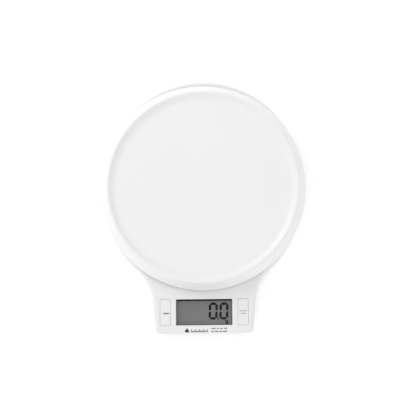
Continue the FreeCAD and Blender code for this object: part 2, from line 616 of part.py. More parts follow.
def make_lower_housing():
    body = new_body("LowerHousingBody")
    outer = new_sketch(body, "lower_outline", "base_bottom")
    housing_outline(outer, DIM["base_reveal"])
    plate = pad(body, outer, "parting_height - base_bottom")
    dress(body, "Fillet", plate, level_edges(plate, DIM["base_bottom"]), "Radius", "base_edge_radius")
    tongue_inset = DIM["shell_wall"] + DIM["tongue_clearance"]
    tongue = new_sketch(body, "lower_tongue", "parting_height")
    housing_outline(tongue, tongue_inset)
    pad(body, tongue, "tongue_height")
    hollow = new_sketch(body, "lower_hollow", "parting_height + tongue_height")
    housing_outline(hollow, tongue_inset + DIM["tongue_wall"])
    pocket(body, hollow, "parting_height + tongue_height - base_bottom - shell_wall")

    posts = new_sketch(body, "screw_posts", "base_bottom + post_root")
    circles(posts, CASE_SCREWS, "case_post_radius")
    pad(body, posts, "parting_height + tongue_height - base_bottom - post_root")
    pedestal = new_sketch(body, "load_cell_pedestal", "base_bottom + post_root")
    rectangle(pedestal, -DIM["hub_centre_x"], PAN_Y, "pedestal_width", "pedestal_length")
    pad(body, pedestal, "cell_bottom - spacer_thickness - base_bottom - post_root")
    stop_bosses = new_sketch(body, "stop_bosses", "base_bottom + post_root")
    circles(stop_bosses, STOPS, "stop_radius + stop_boss_wall")
    pad(body, stop_bosses, "stop_boss_height")
    bay = new_sketch(body, "bay_block", "base_bottom + post_root")
    rectangle(bay, 0, BAY_Y, "bay_width + 2 * bay_wall", "bay_length + 2 * bay_wall")
    pad(body, bay, "bay_ceiling + bay_wall - base_bottom - post_root")

    bay_hollow = new_sketch(body, "bay_hollow", "base_bottom")
    rectangle(bay_hollow, 0, BAY_Y, "bay_width", "bay_length")
    pocket(body, bay_hollow, "bay_ceiling - base_bottom", upwards=True)
    tab_slots = new_sketch(body, "tab_slots", "base_bottom + shell_wall")
    for x in DOOR_TABS:
        rectangle(tab_slots, x, BAY_Y + (DIM["bay_length"] + DIM["tab_length"]) / 2,
                  "tab_width + tab_slot_gap", "tab_slot_length")
    pocket(body, tab_slots, "tab_slot_height", upwards=True)
    contact_slots = new_sketch(body, "contact_slots", "contact_tab_bottom - contact_tab_gap")
    for side in (1, -1):
        rectangle(contact_slots, -(DIM["bay_width"] + DIM["bay_wall"]) / 2,
                  BAY_Y + side * DIM["cell_battery_pitch"] / 2, "bay_wall + contact_tab_gap",
                  "contact_tab_width + 2 * contact_tab_gap")
    pocket(body, contact_slots, "contact_sheet + 2 * contact_tab_gap", upwards=True)
    scoop = new_sketch(body, "finger_scoop", "base_bottom")
    scoop_length = 5.4
    rounded_rectangle(scoop, 0, BAY_Y - DIM["bay_length"] / 2 - DIM["scoop_offset"], DIM["scoop_width"],
                      scoop_length, scoop_length / 2 - 0.1)
    pocket(body, scoop, "scoop_depth", upwards=True)

    heads = new_sketch(body, "head_recesses", "base_bottom")
    circles(heads, CASE_SCREWS, "case_head_radius + head_gap")
    pocket(body, heads, "parting_height - base_bottom", upwards=True)
    shanks = new_sketch(body, "shank_holes", "parting_height")
    circles(shanks, CASE_SCREWS, "case_screw_radius + shank_gap")
    pocket(body, shanks, "tongue_height", upwards=True)
    cell_heads = new_sketch(body, "cell_head_recesses", "base_bottom")
    circles(cell_heads, FIXED_HOLES, "cell_head_radius + head_gap")
    pocket(body, cell_heads, "cell_head_recess", upwards=True)
    cell_shanks = new_sketch(body, "cell_shank_holes", "base_bottom + cell_head_recess")
    circles(cell_shanks, FIXED_HOLES, "cell_screw_radius + shank_gap")
    pocket(body, cell_shanks, "cell_bottom - spacer_thickness - base_bottom - cell_head_recess",
           upwards=True)
    stop_holes = new_sketch(body, "stop_holes", "base_bottom + post_root + stop_boss_height")
    circles(stop_holes, STOPS, "stop_radius")
    pocket(body, stop_holes, "stop_boss_height")
    foot_recesses = new_sketch(body, "foot_recesses", "base_bottom")
    circles(foot_recesses, FEET, "foot_radius + foot_gap")
    pocket(body, foot_recesses, "foot_recess", upwards=True)
    recess = new_sketch(body, "label_recess", "base_bottom")
    gap = DIM["label_gap"]
    rounded_rectangle(recess, 0, DIM["label_y"], DIM["label_width"] + 2 * gap, DIM["label_length"] + 2 * gap,
                      LABEL_CORNER + gap)
    pocket(body, recess, "label_recess", upwards=True)
    return node(body, "lower_housing")


def make_feet_and_label():
    feet = []
    for index, centre in enumerate(FEET, start=1):
        disc = cylinder("foot_disc_%d" % index, "foot_radius", "base_bottom + foot_recess", centre, 0)
        rounded = doc.addObject("Part::Fillet", "foot_%d" % index)
        rounded.Base = disc
        doc.recompute()
        low = [number for number, edge in enumerate(disc.Shape.Edges, start=1)
               if all(abs(point.z) < 1e-6 for point in edge.discretize(3))]
        rounded.Edges = [(number, DIM["foot_edge_radius"], DIM["foot_edge_radius"]) for number in low]
        feet.append(rounded)
    node(group("feet_group", feet), "rubber_feet")
    label = new_body("LabelBody")
    label_sketch = new_sketch(label, "label_outline", "base_bottom + label_recess - label_thickness")
    rounded_rectangle(label_sketch, 0, DIM["label_y"], DIM["label_width"], DIM["label_length"], LABEL_CORNER)
    pad(label, label_sketch, "label_thickness")
    node(label, "blank_rating_label")


# --------------------------------------------------------------------------------------------
# Load cell
# --------------------------------------------------------------------------------------------
def make_load_cell():
    """A square aluminium beam with two cross bores joined by a slot: it bends, and its gauges read it."""
    beam = box("cell_beam", ("cell_length", "cell_side", "cell_side"), (0, "pan_centre_y"), "cell_bottom")
    tools = []
    front = "pan_centre_y - cell_side / 2 - 1"
    middle = "cell_bottom + cell_side / 2"
    for side in (1, -1):
        start = ("%d * cell_bore_offset" % side, front, middle)
        tools.append(cross_cylinder("cell_bore_%d" % (side + 2), "cell_bore_radius", "cell_side + 2",
                                    start, "Y"))
    tools.append(box("cell_slot", ("2 * cell_bore_offset", "cell_side + 2", "cell_slot_height"),
                     (0, "pan_centre_y"), "cell_bottom + cell_side / 2 - cell_slot_height / 2"))
    for index, centre in enumerate(FIXED_HOLES, start=1):
        tools.append(cylinder("cell_thread_%d" % index, "cell_screw_radius", "cell_thread_depth", centre,
                              "cell_bottom"))
    for index, centre in enumerate(FREE_HOLES, start=1):
        tools.append(cylinder("cell_clearance_%d" % index, "cell_screw_radius + shank_gap", "cell_side",
                              centre, "cell_bottom"))
    node(cut("cell_shape", beam, *tools), "load_cell")

    plate = box("spacer_blank", ("spacer_length", "cell_side", "spacer_thickness"),
                ("-hub_centre_x", "pan_centre_y"), "cell_bottom - spacer_thickness")
    holes = [cylinder("spacer_hole_%d" % index, "cell_screw_radius + shank_gap", "spacer_thickness", centre,
                      "cell_bottom - spacer_thickness") for index, centre in enumerate(FIXED_HOLES)]
    node(cut("spacer_shape", plate, *holes), "load_cell_spacer")

    pin_height = "cell_bottom - stop_gap - base_bottom - post_root"
    pins = [cylinder("stop_pin_%d" % index, "stop_radius", pin_height, centre, "base_bottom + post_root")
            for index, centre in enumerate(STOPS, start=1)]
    node(group("stop_group", pins), "overload_stops")

    gauges = []
    coats = []
    foil = 0.1
    foil_size = (6.0, 4.0, foil)
    coat = 0.7
    coat_size = (10.0, 9.0, coat)
    for side in (1, -1):
        for level, name in ((1, "top"), (-1, "under")):
            centre = ("%d * cell_bore_offset" % side, "pan_centre_y")
            foil_bottom = "cell_bottom + cell_side" if level == 1 else "cell_bottom - %s" % foil
            coat_bottom = "cell_bottom + cell_side" if level == 1 else "cell_bottom - %s" % coat
            tag = "%s_%d" % (name, side + 2)
            gauges.append(box("gauge_" + tag, foil_size, centre, foil_bottom))
            inside = box("gauge_room_" + tag, foil_size, centre, foil_bottom)
            cover = box("coat_blank_" + tag, coat_size, centre, coat_bottom)
            coats.append(cut("coat_" + tag, cover, inside))
    node(group("gauge_group", gauges), "strain_gauges")
    node(group("coat_group", coats), "gauge_sealant")
    anchor_size = (6.0, 3.0, 6.0)
    anchor_centre = (-24.0, "pan_centre_y - cell_side / 2 - %s / 2" % anchor_size[1])
    anchor_bottom = 11.0
    node(box("anchor_block", anchor_size, anchor_centre, anchor_bottom), "gauge_wire_anchor")


# --------------------------------------------------------------------------------------------
# Display, keys and circuit board
# --------------------------------------------------------------------------------------------
def make_display():
    lens = box("lens_sheet", ("lens_width", "lens_length", "lens_thickness"), (0, DISPLAY_Y),
               "housing_top - shell_wall - lens_thickness")
    node(lens, "display_lens")
    glass = box("glass_sheet", ("glass_width", "glass_length", "glass_thickness"), (0, DISPLAY_Y),
                "glass_top - glass_thickness")
    node(glass, "display_glass")
    gap = 0.15
    height = "glass_top - board_bottom - board_thickness"
    outer = box("frame_outer", ("glass_width + 2 * frame_wall", "glass_length + 2 * frame_wall", height),
                (0, DISPLAY_Y), "board_bottom + board_thickness")
    seat = box("frame_seat", ("glass_width + 2 * %s" % gap, "glass_length + 2 * %s" % gap, height),
               (0, DISPLAY_Y), "board_bottom + board_thickness")
    node(cut("frame_shape", outer, seat), "display_frame")
    for side, label in ((1, "rear_contact_strip"), (-1, "front_contact_strip")):
        strip = box(label + "_bar", ("zebra_length", "zebra_width",
                                     "glass_top - glass_thickness - board_bottom - board_thickness"),
                    (0, "%s + %d * (glass_length / 2 - 1.8)" % (DISPLAY_Y, side)),
                    "board_bottom + board_thickness")
        node(strip, label)


def make_key(label, side):
    """A key cap with a retaining flange under the housing and a stem down to its switch."""
    body = new_body(label.title().replace("_", "") + "Body")
    x = side * DIM["key_offset"]
    flange_top = "housing_top - shell_wall - key_flange_gap"
    flange = new_sketch(body, label + "_flange", flange_top + " - key_flange_thickness")
    rounded_rectangle(flange, x, DISPLAY_Y, DIM["key_width"] + 2 * DIM["key_flange"],
                      DIM["key_length"] + 2 * DIM["key_flange"], DIM["key_corner"])
    pad(body, flange, "key_flange_thickness")
    cap = new_sketch(body, label + "_cap", flange_top)
    rounded_rectangle(cap, x, DISPLAY_Y, DIM["key_width"], DIM["key_length"], DIM["key_corner"])
    raised = pad(body, cap, "shell_wall + key_flange_gap + key_proud")
    dress(body, "Fillet", raised, level_edges(raised, DIM["housing_top"] + DIM["key_proud"]), "Radius",
          "key_edge_radius")
    stem_bottom = "board_bottom + board_thickness + switch_height + plunger_proud"
    stem = new_sketch(body, label + "_stem", stem_bottom)
    circles(stem, [(x, DISPLAY_Y)], "stem_radius")
    pad(body, stem, "%s - key_flange_thickness - (%s) + overlap" % (flange_top, stem_bottom))
    return node(body, label)


def make_switch(label, side):
    """A push switch on the board, and the plunger that its key presses."""
    x = "%d * key_offset" % side
    top = "board_bottom + board_thickness + switch_height"
    case = box(label + "_case", ("switch_side", "switch_side", "switch_height"), (x, DISPLAY_Y),
               "board_bottom + board_thickness")
    well = cylinder(label + "_well", "plunger_radius + plunger_gap", "switch_well", (x, DISPLAY_Y),
                    top + " - switch_well")
    node(cut(label + "_shape", case, well), label)
    plunger = cylinder(label + "_pin", "plunger_radius", "plunger_proud + plunger_sunk", (x, DISPLAY_Y),
                       top + " - plunger_sunk")
    node(plunger, label + "_plunger")


def make_board():
    slab = box("board_slab", ("board_width", "board_length", "board_thickness"), (0, BOARD_Y),
               "board_bottom")
    holes = [cylinder("board_hole_%d" % index, "case_screw_radius + shank_gap", "board_thickness", centre,
                      "board_bottom") for index, centre in enumerate(BOARD_SCREWS, start=1)]
    node(cut("board_shape", slab, *holes), "main_circuit_board")
    blocks = [
        ("load_cell_connector", (9.0, 5.0, 4.0), (-13.0, -64.0)),
        ("battery_connector", (7.4, 5.0, 4.0), (-24.5, -64.0)),
        ("converter_chip", (9.9, 3.9, 1.6), (4.0, -65.5)),
        ("crystal_can", (8.0, 3.6, 3.2), (16.5, -65.5)),
    ]
    for label, size, centre in blocks:
        node(box(label + "_block", size, centre, "board_bottom + board_thickness"), label)
    capacitor_radius = 2.5
    capacitor_height = 6.0
    capacitor = cylinder("capacitor_can", capacitor_radius, capacitor_height, (25.2, -65.5),
                         "board_bottom + board_thickness")
    node(capacitor, "supply_capacitor")
    # The processor sits on the board's underside under a cap of black resin.
    dome = doc.addObject("Part::Cone", "resin_cap")
    dome.Radius1 = 4.5
    dome.Radius2 = 7.5
    dome.Height = 1.6
    place(dome, 0, DISPLAY_Y, "board_bottom - 1.6")
    node(dome, "processor_resin_cap")


# --------------------------------------------------------------------------------------------
# Batteries, contacts and door
# --------------------------------------------------------------------------------------------
def make_battery(label, side):
    """A dry cell lying along X; side +1 has its terminal towards -X."""
    y = "%s + %d * cell_battery_pitch / 2" % (BAY_Y, side)
    start = "-cell_battery_length / 2 - %d * cell_battery_shift" % side
    can = cross_cylinder(label + "_can", "cell_battery_radius", "cell_battery_length",
                         (start, y, "cell_battery_height"), "X")
    nub_radius = 1.9
    nub_length = 1.0
    nub_start = start + (" - %s" % nub_length if side == 1 else " + cell_battery_length")
    nub = cross_cylinder(label + "_nub", nub_radius, nub_length, (nub_start, y, "cell_battery_height"), "X")
    node(fuse(label + "_shape", can, nub), label)


def spring_shape(x_start, x_end, y, z):
    """A conical contact spring that winds from a wide ring on its plate to a small one on the cell."""
    turns = 4
    wide = 3.4
    narrow = 2.2
    steps = turns * 8
    points = []
    for step in range(steps + 1):
        share = step / steps
        angle = 2 * math.pi * turns * share
        radius = wide + (narrow - wide) * share
        along = x_start + (x_end - x_start) * share
        points.append(vector(along, y + radius * math.cos(angle), z + radius * math.sin(angle)))
    path = Part.BSplineCurve()
    path.interpolate(points)
    spine = Part.Wire([path.toShape()])
    tangent = path.tangent(path.FirstParameter)[0]
    ring = Part.Wire([Part.Circle(points[0], tangent, SPRING_WIRE).toShape()])
    return spine.makePipeShell([ring], True, True)


def make_contacts():
    """Sheet contacts at both ends of the bay: a bridge on +X, two with solder tabs on -X."""
    half = DIM["bay_width"] / 2
    height = DIM["cell_battery_height"]
    rear_y = BAY_Y + DIM["cell_battery_pitch"] / 2
    front_y = BAY_Y - DIM["cell_battery_pitch"] / 2
    plate_x = half - DIM["contact_sheet"] / 2
    bridge_length = 20.0
    single_length = 8.6
    bridge = box("bridge_sheet", ("contact_sheet", bridge_length, "contact_height"), (plate_x, BAY_Y),
                 "contact_bottom")
    node(bridge, "bridge_contact")
    for label, y in (("positive_contact", rear_y), ("negative_contact", front_y)):
        plate = box(label + "_sheet", ("contact_sheet", single_length, "contact_height"), (-plate_x, y),
                    "contact_bottom")
        tab = box(label + "_tab", ("contact_tab_length", "contact_tab_width", "contact_sheet"),
                  ("-bay_width / 2 + contact_sheet - contact_tab_length / 2", y), "contact_tab_bottom")
        node(fuse(label + "_shape", plate, tab), label)
    # The springs press on the flat ends of the cells, one at each end of the bay.
    plate_end = half - DIM["contact_sheet"] - SPRING_WIRE
    slack = 0.05
    cell_end = DIM["cell_battery_length"] / 2 - DIM["cell_battery_shift"] + SPRING_WIRE + slack
    ends = [
        ("bridge_spring", plate_end, cell_end, rear_y),
        ("negative_spring", -plate_end, -cell_end, front_y),
    ]
    for label, start, end, y in ends:
        feature = doc.addObject("Part::Feature", label + "_wire")
        feature.Shape = spring_shape(start, end, y, height)
        feature.Placement = FreeCAD.Placement()
        node(feature, label)


def make_battery_door():
    """A flat door that turns about its rear lower edge on two hooked tabs."""
    gap = DIM["door_gap"]
    rear_edge = BAY_Y + DIM["bay_length"] / 2
    front_edge = BAY_Y - DIM["bay_length"] / 2
    body = new_body("DoorBody")
    plate = new_sketch(body, "door_plate", "base_bottom")
    rounded_rectangle(plate, 0, BAY_Y, DIM["bay_width"] - 2 * gap, DIM["bay_length"] - 2 * gap, 0.8)
    pad(body, plate, "door_thickness")
    sunk = 0.4
    tab_lift = 0.15
    tab_top = "shell_wall + %s + tab_thickness" % tab_lift
    web_length = 1.8
    webs = new_sketch(body, "door_webs", "base_bottom + door_thickness - %s" % sunk)
    for x in DOOR_TABS:
        rectangle(webs, x, rear_edge - gap - web_length / 2, "tab_width", web_length)
    pad(body, webs, "%s - door_thickness + %s" % (tab_top, sunk))
    tabs = new_sketch(body, "door_tabs", "base_bottom + shell_wall + %s" % tab_lift)
    for x in DOOR_TABS:
        rectangle(tabs, x, rear_edge + 0.2 * DIM["tab_length"], "tab_width", "tab_length")
    pad(body, tabs, "tab_thickness")
    latch_width = 12.0
    latch_length = 1.2
    latch_height = 1.7
    latch = new_sketch(body, "door_latch", "base_bottom + door_thickness - %s" % sunk)
    rectangle(latch, 0, front_edge + gap + 0.7 + latch_length / 2, latch_width, latch_length)
    pad(body, latch, latch_height)
    groove_width = 14.0
    groove_length = 0.7
    groove_pitch = 1.8
    grooves = new_sketch(body, "door_grip", "base_bottom")
    for step in range(4):
        rectangle(grooves, 0, front_edge + 3.0 + groove_pitch * step, groove_width, groove_length)
    pocket(body, grooves, sunk, upwards=True)
    return node(body, "battery_door")


# --------------------------------------------------------------------------------------------
# Wiring
# --------------------------------------------------------------------------------------------
def wired(label, radius, points):
    """A lead along straight runs joined by tangent arcs, each as large as its two runs allow."""
    points = [vector(*point) for point in points]
    edges = []
    start = points[0]
    radii = []
    for before, corner, after in zip(points, points[1:], points[2:]):
        inward = (before - corner).normalize()
        onward = (after - corner).normalize()
        half_turn = (math.pi - inward.getAngle(onward)) / 2
        reach = 0.45 * min((before - corner).Length, (after - corner).Length)
        bend = reach / math.tan(half_turn)
        bisector = (inward + onward).normalize()
        centre = corner + bisector * (bend / math.cos(half_turn))
        middle = centre - bisector * bend
        arc_start = corner + inward * reach
        arc_end = corner + onward * reach
        edges.append(Part.LineSegment(start, arc_start).toShape())
        edges.append(Part.Arc(arc_start, middle, arc_end).toShape())
        start = arc_end
        radii.append(bend)
    edges.append(Part.LineSegment(start, points[-1]).toShape())
    spine = Part.Wire(edges)
    ring = Part.Wire([Part.Circle(points[0], points[1] - points[0], radius).toShape()])
    tube = spine.makePipeShell([ring], True, False)
    expected = math.pi * radius ** 2 * spine.Length
    if abs(tube.Volume - expected) > 0.01 * expected:
        raise RuntimeError("%s has volume %.1f, not %.1f" % (label, tube.Volume, expected))
    print("%s: length %.0f mm, smallest bend radius %.1f mm" % (label, spine.Length, min(radii)))
    feature = doc.addObject("Part::Feature", label + "_tube")
    feature.Shape = tube
    feature.Placement = FreeCAD.Placement()
    return node(feature, label)


def make_wiring():
    rear_y = BAY_Y + DIM["cell_battery_pitch"] / 2
    front_y = BAY_Y - DIM["cell_battery_pitch"] / 2
    board_edge = BOARD_Y + DIM["board_length"] / 2
    tab_end = -DIM["bay_width"] / 2 + DIM["contact_sheet"] - DIM["contact_tab_length"]
    plug_height = DIM["board_bottom"] + DIM["board_thickness"] + 2.0
    wired("positive_lead", DIM["lead_radius"], [
        (tab_end, rear_y, 12.0), (-37.0, rear_y, 12.0), (-46.0, 60.0, 12.0), (-50.5, 46.0, 12.0),
        (-51.5, 30.0, 12.0), (-50.5, 10.0, 12.0), (-46.0, -10.0, 12.6), (-38.0, -27.0, 13.8),
        (-29.0, -40.0, 15.0), (-26.0, -51.0, 15.6), (-26.0, board_edge, plug_height)])
    wired("negative_lead", DIM["lead_radius"], [
        (tab_end, front_y, 12.0), (-36.0, front_y, 12.0), (-43.5, 51.0, 12.0), (-47.0, 40.0, 12.0),
        (-48.0, 26.0, 12.0), (-46.8, 8.0, 12.0), (-42.0, -11.0, 12.6), (-34.5, -27.0, 13.8),
        (-26.0, -40.0, 15.0), (-23.0, -51.0, 15.6), (-23.0, board_edge, plug_height)])
    wired("load_cell_cable", DIM["cable_radius"], [
        (-24.0, PAN_Y - DIM["cell_side"] / 2 - 3.0, 14.0), (-24.0, -9.0, 14.0), (-19.5, -23.0, 14.4),
        (-15.5, -37.0, 15.2), (-13.0, -50.0, 15.6), (-13.0, board_edge, plug_height)])


# --------------------------------------------------------------------------------------------
# Whole object
# --------------------------------------------------------------------------------------------
def build():
    make_weighing_pan()
    make_pan_carrier()
    make_upper_housing()
    make_lower_housing()
    make_feet_and_label()
    make_load_cell()
    make_screws()
    make_display()
    make_key("mode_key", -1)
    make_key("tare_key", 1)
    make_switch("mode_switch", -1)
    make_switch("tare_switch", 1)
    make_board()
    make_battery("rear_battery", 1)
    make_battery("front_battery", -1)
    make_contacts()
    make_battery_door()
    make_wiring()
    doc.recompute()


def check():
    """Every object is up to date, and every sub-part is a valid shape with closed solids."""
    for obj in doc.Objects:
        if "Invalid" in obj.State or "Error" in obj.State:
            raise RuntimeError("%s is in state %s" % (obj.Label, obj.State))
    for obj in nodes:
        if obj.Shape.isNull() or not obj.Shape.isValid() or not obj.Shape.Solids:
            raise RuntimeError("%s has no valid solid" % obj.Label)


def write():
    for obj in nodes:
        obj.Shape.exportStep("parts/%s.step" % obj.Label)
    bounds = Part.makeCompound([obj.Shape for obj in nodes]).optimalBoundingBox(False)
    print("%d nodes, %.1f x %.1f x %.1f mm" % (len(nodes), bounds.XLength, bounds.YLength, bounds.ZLength))
    print("x %.2f..%.2f  y %.2f..%.2f  z %.2f..%.2f" % (
        bounds.XMin, bounds.XMax, bounds.YMin, bounds.YMax, bounds.ZMin, bounds.ZMax))


build()
check()
write()
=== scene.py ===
"""Round pan electronic scale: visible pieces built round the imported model, laid out as an add-on."""
import json
import math

import bmesh
import bpy
from bpy.props import FloatProperty, FloatVectorProperty, IntProperty, PointerProperty
from bpy.types import Operator, Panel, PropertyGroup
from mathutils import Matrix, Vector


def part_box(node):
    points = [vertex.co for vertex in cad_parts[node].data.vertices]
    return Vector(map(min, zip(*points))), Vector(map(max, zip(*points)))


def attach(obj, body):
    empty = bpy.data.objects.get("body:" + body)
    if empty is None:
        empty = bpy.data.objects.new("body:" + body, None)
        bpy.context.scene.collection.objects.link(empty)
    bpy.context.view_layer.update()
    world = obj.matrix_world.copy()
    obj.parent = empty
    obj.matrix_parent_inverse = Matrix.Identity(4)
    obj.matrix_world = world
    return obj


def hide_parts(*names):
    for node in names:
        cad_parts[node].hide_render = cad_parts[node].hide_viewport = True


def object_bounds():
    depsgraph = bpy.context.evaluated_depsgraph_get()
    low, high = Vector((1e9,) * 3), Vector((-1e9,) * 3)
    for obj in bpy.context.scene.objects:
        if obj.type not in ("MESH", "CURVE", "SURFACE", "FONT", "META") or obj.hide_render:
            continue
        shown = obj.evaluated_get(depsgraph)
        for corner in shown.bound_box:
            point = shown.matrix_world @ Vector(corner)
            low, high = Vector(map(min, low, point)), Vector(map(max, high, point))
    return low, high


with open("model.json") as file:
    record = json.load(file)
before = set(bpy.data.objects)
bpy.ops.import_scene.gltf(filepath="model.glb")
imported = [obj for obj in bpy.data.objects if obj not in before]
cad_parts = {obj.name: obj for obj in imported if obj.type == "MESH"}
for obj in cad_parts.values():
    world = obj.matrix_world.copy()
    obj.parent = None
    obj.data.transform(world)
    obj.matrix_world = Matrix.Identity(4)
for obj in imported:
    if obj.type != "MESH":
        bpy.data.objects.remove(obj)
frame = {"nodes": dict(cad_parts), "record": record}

bl_info = {
    "name": "Round Pan Scale",
    "version": (1, 0, 0),
    "blender": (4, 5, 0),
    "location": "View3D > Sidebar > Scale",
    "description": "Builds the visible pieces of a round pan electronic scale",
    "category": "Add Mesh",
}

MM = 0.001
TURN = 2 * math.pi
QUARTER = math.pi / 2
SAME_POINT = 1e-7
BODY_OF = {node: body for body, nodes in frame["record"]["behaviour"]["bodies"].items() for node in nodes}
CAD_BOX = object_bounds()


# --- Places read from the frame ---
def middle(node):
    """Centre of a node's box."""
    low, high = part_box(node)
    return (Vector(low) + Vector(high)) / 2


def span(node):
    """Size of a node's box."""
    low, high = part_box(node)
    return Vector(high) - Vector(low)


def merged_copy(node):
    """A bmesh of a node with its loose triangles joined."""
    bm = bmesh.new()
    bm.from_mesh(frame["nodes"][node].data)
    bmesh.ops.remove_doubles(bm, verts=bm.verts, dist=SAME_POINT)
    return bm


def island_boxes(node):
    """The box of each separate solid in a node, as (lowest corner, highest corner)."""
    bm = merged_copy(node)
    left = set(bm.verts)
    boxes = []
    while left:
        island = set()
        new = {next(iter(left))}
        while new:
            island |= new
            new = {vert for old in new for edge in old.link_edges for vert in edge.verts} - island
        left -= island
        axes = list(zip(*(vert.co for vert in island)))
        boxes.append((Vector([min(axis) for axis in axes]), Vector([max(axis) for axis in axes])))
    bm.free()
    return sorted(boxes, key=lambda pair: tuple(pair[0]))


# --- Sizes and colours that a user would change ---
def length(name, description, default):
    return FloatProperty(name=name, description=description, default=default, unit="LENGTH", precision=5)


def number(name, description, default):
    return FloatProperty(name=name, description=description, default=default)


def tilt(name, description, degrees):
    return FloatProperty(name=name, description=description, default=math.radians(degrees), subtype="ANGLE")


def colour(name, description, default):
    return FloatVectorProperty(name=name, description=description, default=default, subtype="COLOR",
                               min=0.0, max=1.0)


class ScalePanSettings(PropertyGroup):
    crest_radius: length("Crest radius", "Middle of the pan to its raised crest", 75.6 * MM)
    dish_radius: length("Dish radius", "Middle of the pan to the edge of its flat dish", 69.4 * MM)
    crest_rounding: length("Crest rounding", "Radius of the rounded crest", 2.0 * MM)
    dish_depth: length("Dish depth", "Crest to dish", 2.6 * MM)
    wall: length("Wall", "Thickness of the pan", 2.2 * MM)
    lip: length("Lip", "Upright band at the pan's edge", 1.0 * MM)
    rib_radius: length("Rib radius", "Middle of the pan to the rib under its dish", 58.0 * MM)
    rib_depth: length("Rib depth", "Dish to the lower edge of the rib", 3.0 * MM)
    segments: IntProperty(name="Segments", description="Steps round the pan", default=224, min=32)
    tint: colour("Colour", "Pan plastic", (0.83, 0.83, 0.83))


class ScaleHousingSettings(PropertyGroup):
    end_radius: length("End radius", "Front and rear arcs of the oval", 79.0 * MM)
    neck_half_width: length("Neck half width", "Half width of the neck's front edge", 39.0 * MM)
    neck_taper: number("Neck taper", "Widening of each side per length", 0.081)
    flare_radius: length("Flare radius", "Concave arc from the neck into the oval", 38.4 * MM)
    corner_radius: length("Corner radius", "Front corners of the neck", 4.5 * MM)
    edge_radius: length("Edge radius", "Rounded top edge", 3.0 * MM)
    wall: length("Wall", "Thickness of the shell", 2.0 * MM)
    window_chamfer: length("Window bevel", "Bevel round the display window", 0.35 * MM)
    parting: length("Parting height", "Bottom of the housing to the foot of its screw posts", 6.0 * MM)
    arc_steps: IntProperty(name="Arc steps", description="Steps in an arc of the outline", default=40, min=6)
    tint: colour("Colour", "Housing plastic", (0.80, 0.80, 0.80))


class ScaleDisplaySettings(PropertyGroup):
    window_width: length("Window width", "Display window, side to side", 44.7 * MM)
    window_length: length("Window length", "Display window, front to back", 20.6 * MM)
    digit_height: length("Digit height", "Height of a digit", 13.5 * MM)
    digit_width: length("Digit width", "Width of a digit", 7.15 * MM)
    stroke: length("Stroke", "Width of a segment", 1.9 * MM)
    digit_pitch: length("Digit pitch", "Distance between digits", 8.5 * MM)
    digits_end: length("Digits end", "Middle of the window to the right of the digits", 19.25 * MM)
    digits_rise: length("Digits rise", "Middle of the window to the middle of the digits", 0.8 * MM)
    slant: number("Slant", "Lean of the digits", 0.045)
    panel_tint: colour("Panel colour", "Unlit display", (0.255, 0.256, 0.255))
    digit_tint: colour("Digit colour", "Lit segments", (0.002, 0.002, 0.002))


class ScaleKeySettings(PropertyGroup):
    cap_width: length("Cap width", "Key cap, side to side", 8.1 * MM)
    cap_length: length("Cap length", "Key cap, front to back", 20.7 * MM)
    gap: length("Gap", "Gap round a key cap", 0.15 * MM)
    corner: length("Corner", "Corner radius of a key cap", 1.0 * MM)
    tint: colour("Colour", "Key plastic", (0.80, 0.80, 0.80))
    mark_tint: colour("Mark colour", "Printed marks", (0.03, 0.03, 0.03))


class ScaleStageSettings(PropertyGroup):
    distance: length("Camera distance", "Camera to the object", 0.9)
    elevation: tilt("Elevation", "Camera above the horizon", 84.0)
    view_width: length("View width", "Width that the picture takes in", 333.6 * MM)
    turn: tilt("Turn", "Camera round the object", -0.6)
    key_power: number("Key light", "Power of the rear left light", 7.6)
    fill_power: number("Fill light", "Power of the rear right light", 2.3)
    front_power: number("Front light", "Power of the front light", 4.7)
    sky: number("Sky", "Strength of the even surrounding light", 0.765)


# --- Materials ---
def feed(node, inputs):
    """Fills a node's inputs: a socket is linked, anything else becomes the value."""
    for name, value in inputs.items():
        if isinstance(value, bpy.types.NodeSocket):
            node.id_data.links.new(value, node.inputs[name])
        else:
            node.inputs[name].default_value = value


def add_node(tree, kind, inputs, **options):
    """Adds a node, sets options such as its data type, then fills its inputs."""
    node = tree.nodes.new(kind)
    for option, value in options.items():
        setattr(node, option, value)
    feed(node, inputs)
    return node


def new_material(name):
    """A new material and its object coordinates."""
    material = bpy.data.materials.new(name)
    material.use_nodes = True
    return material, add_node(material.node_tree, "ShaderNodeTexCoord", {}).outputs["Object"]


def shaded(material, inputs):
    """Fills the inputs of a material's shader and returns the material."""
    feed(material.node_tree.nodes["Principled BSDF"], inputs)
    return material


def noise(coordinates, scale, detail=3.0, roughness=0.5):
    values = {"Vector": coordinates, "Scale": scale, "Detail": detail, "Roughness": roughness}
    return add_node(coordinates.id_data, "ShaderNodeTexNoise", values).outputs["Fac"]


def stretched(coordinates, scale, turn=0.0):
    """Coordinates turned about the vertical and scaled, to draw a texture out along an axis."""
    values = {"Vector": coordinates, "Scale": scale, "Rotation": (0.0, 0.0, turn)}
    return add_node(coordinates.id_data, "ShaderNodeMapping", values).outputs["Vector"]


def spread(value, low=0.0, high=1.0, start=0.3, stop=0.7):
    """Maps a texture's value onto a range of numbers."""
    values = {"Value": value, "From Min": start, "From Max": stop, "To Min": low, "To Max": high}
    return add_node(value.id_data, "ShaderNodeMapRange", values).outputs["Result"]


def blend_colours(factor, first, second):
    values = {"A": (*first, 1.0), "B": (*second, 1.0), "Factor": factor}
    return add_node(factor.id_data, "ShaderNodeMix", values, data_type="RGBA").outputs["Result"]


def bump(height, distance):
    values = {"Height": height, "Distance": distance, "Strength": 1.0}
    return add_node(height.id_data, "ShaderNodeBump", values).outputs["Normal"]


def scaled(tint, factor):
    return tuple(min(1.0, channel * factor) for channel in tint)


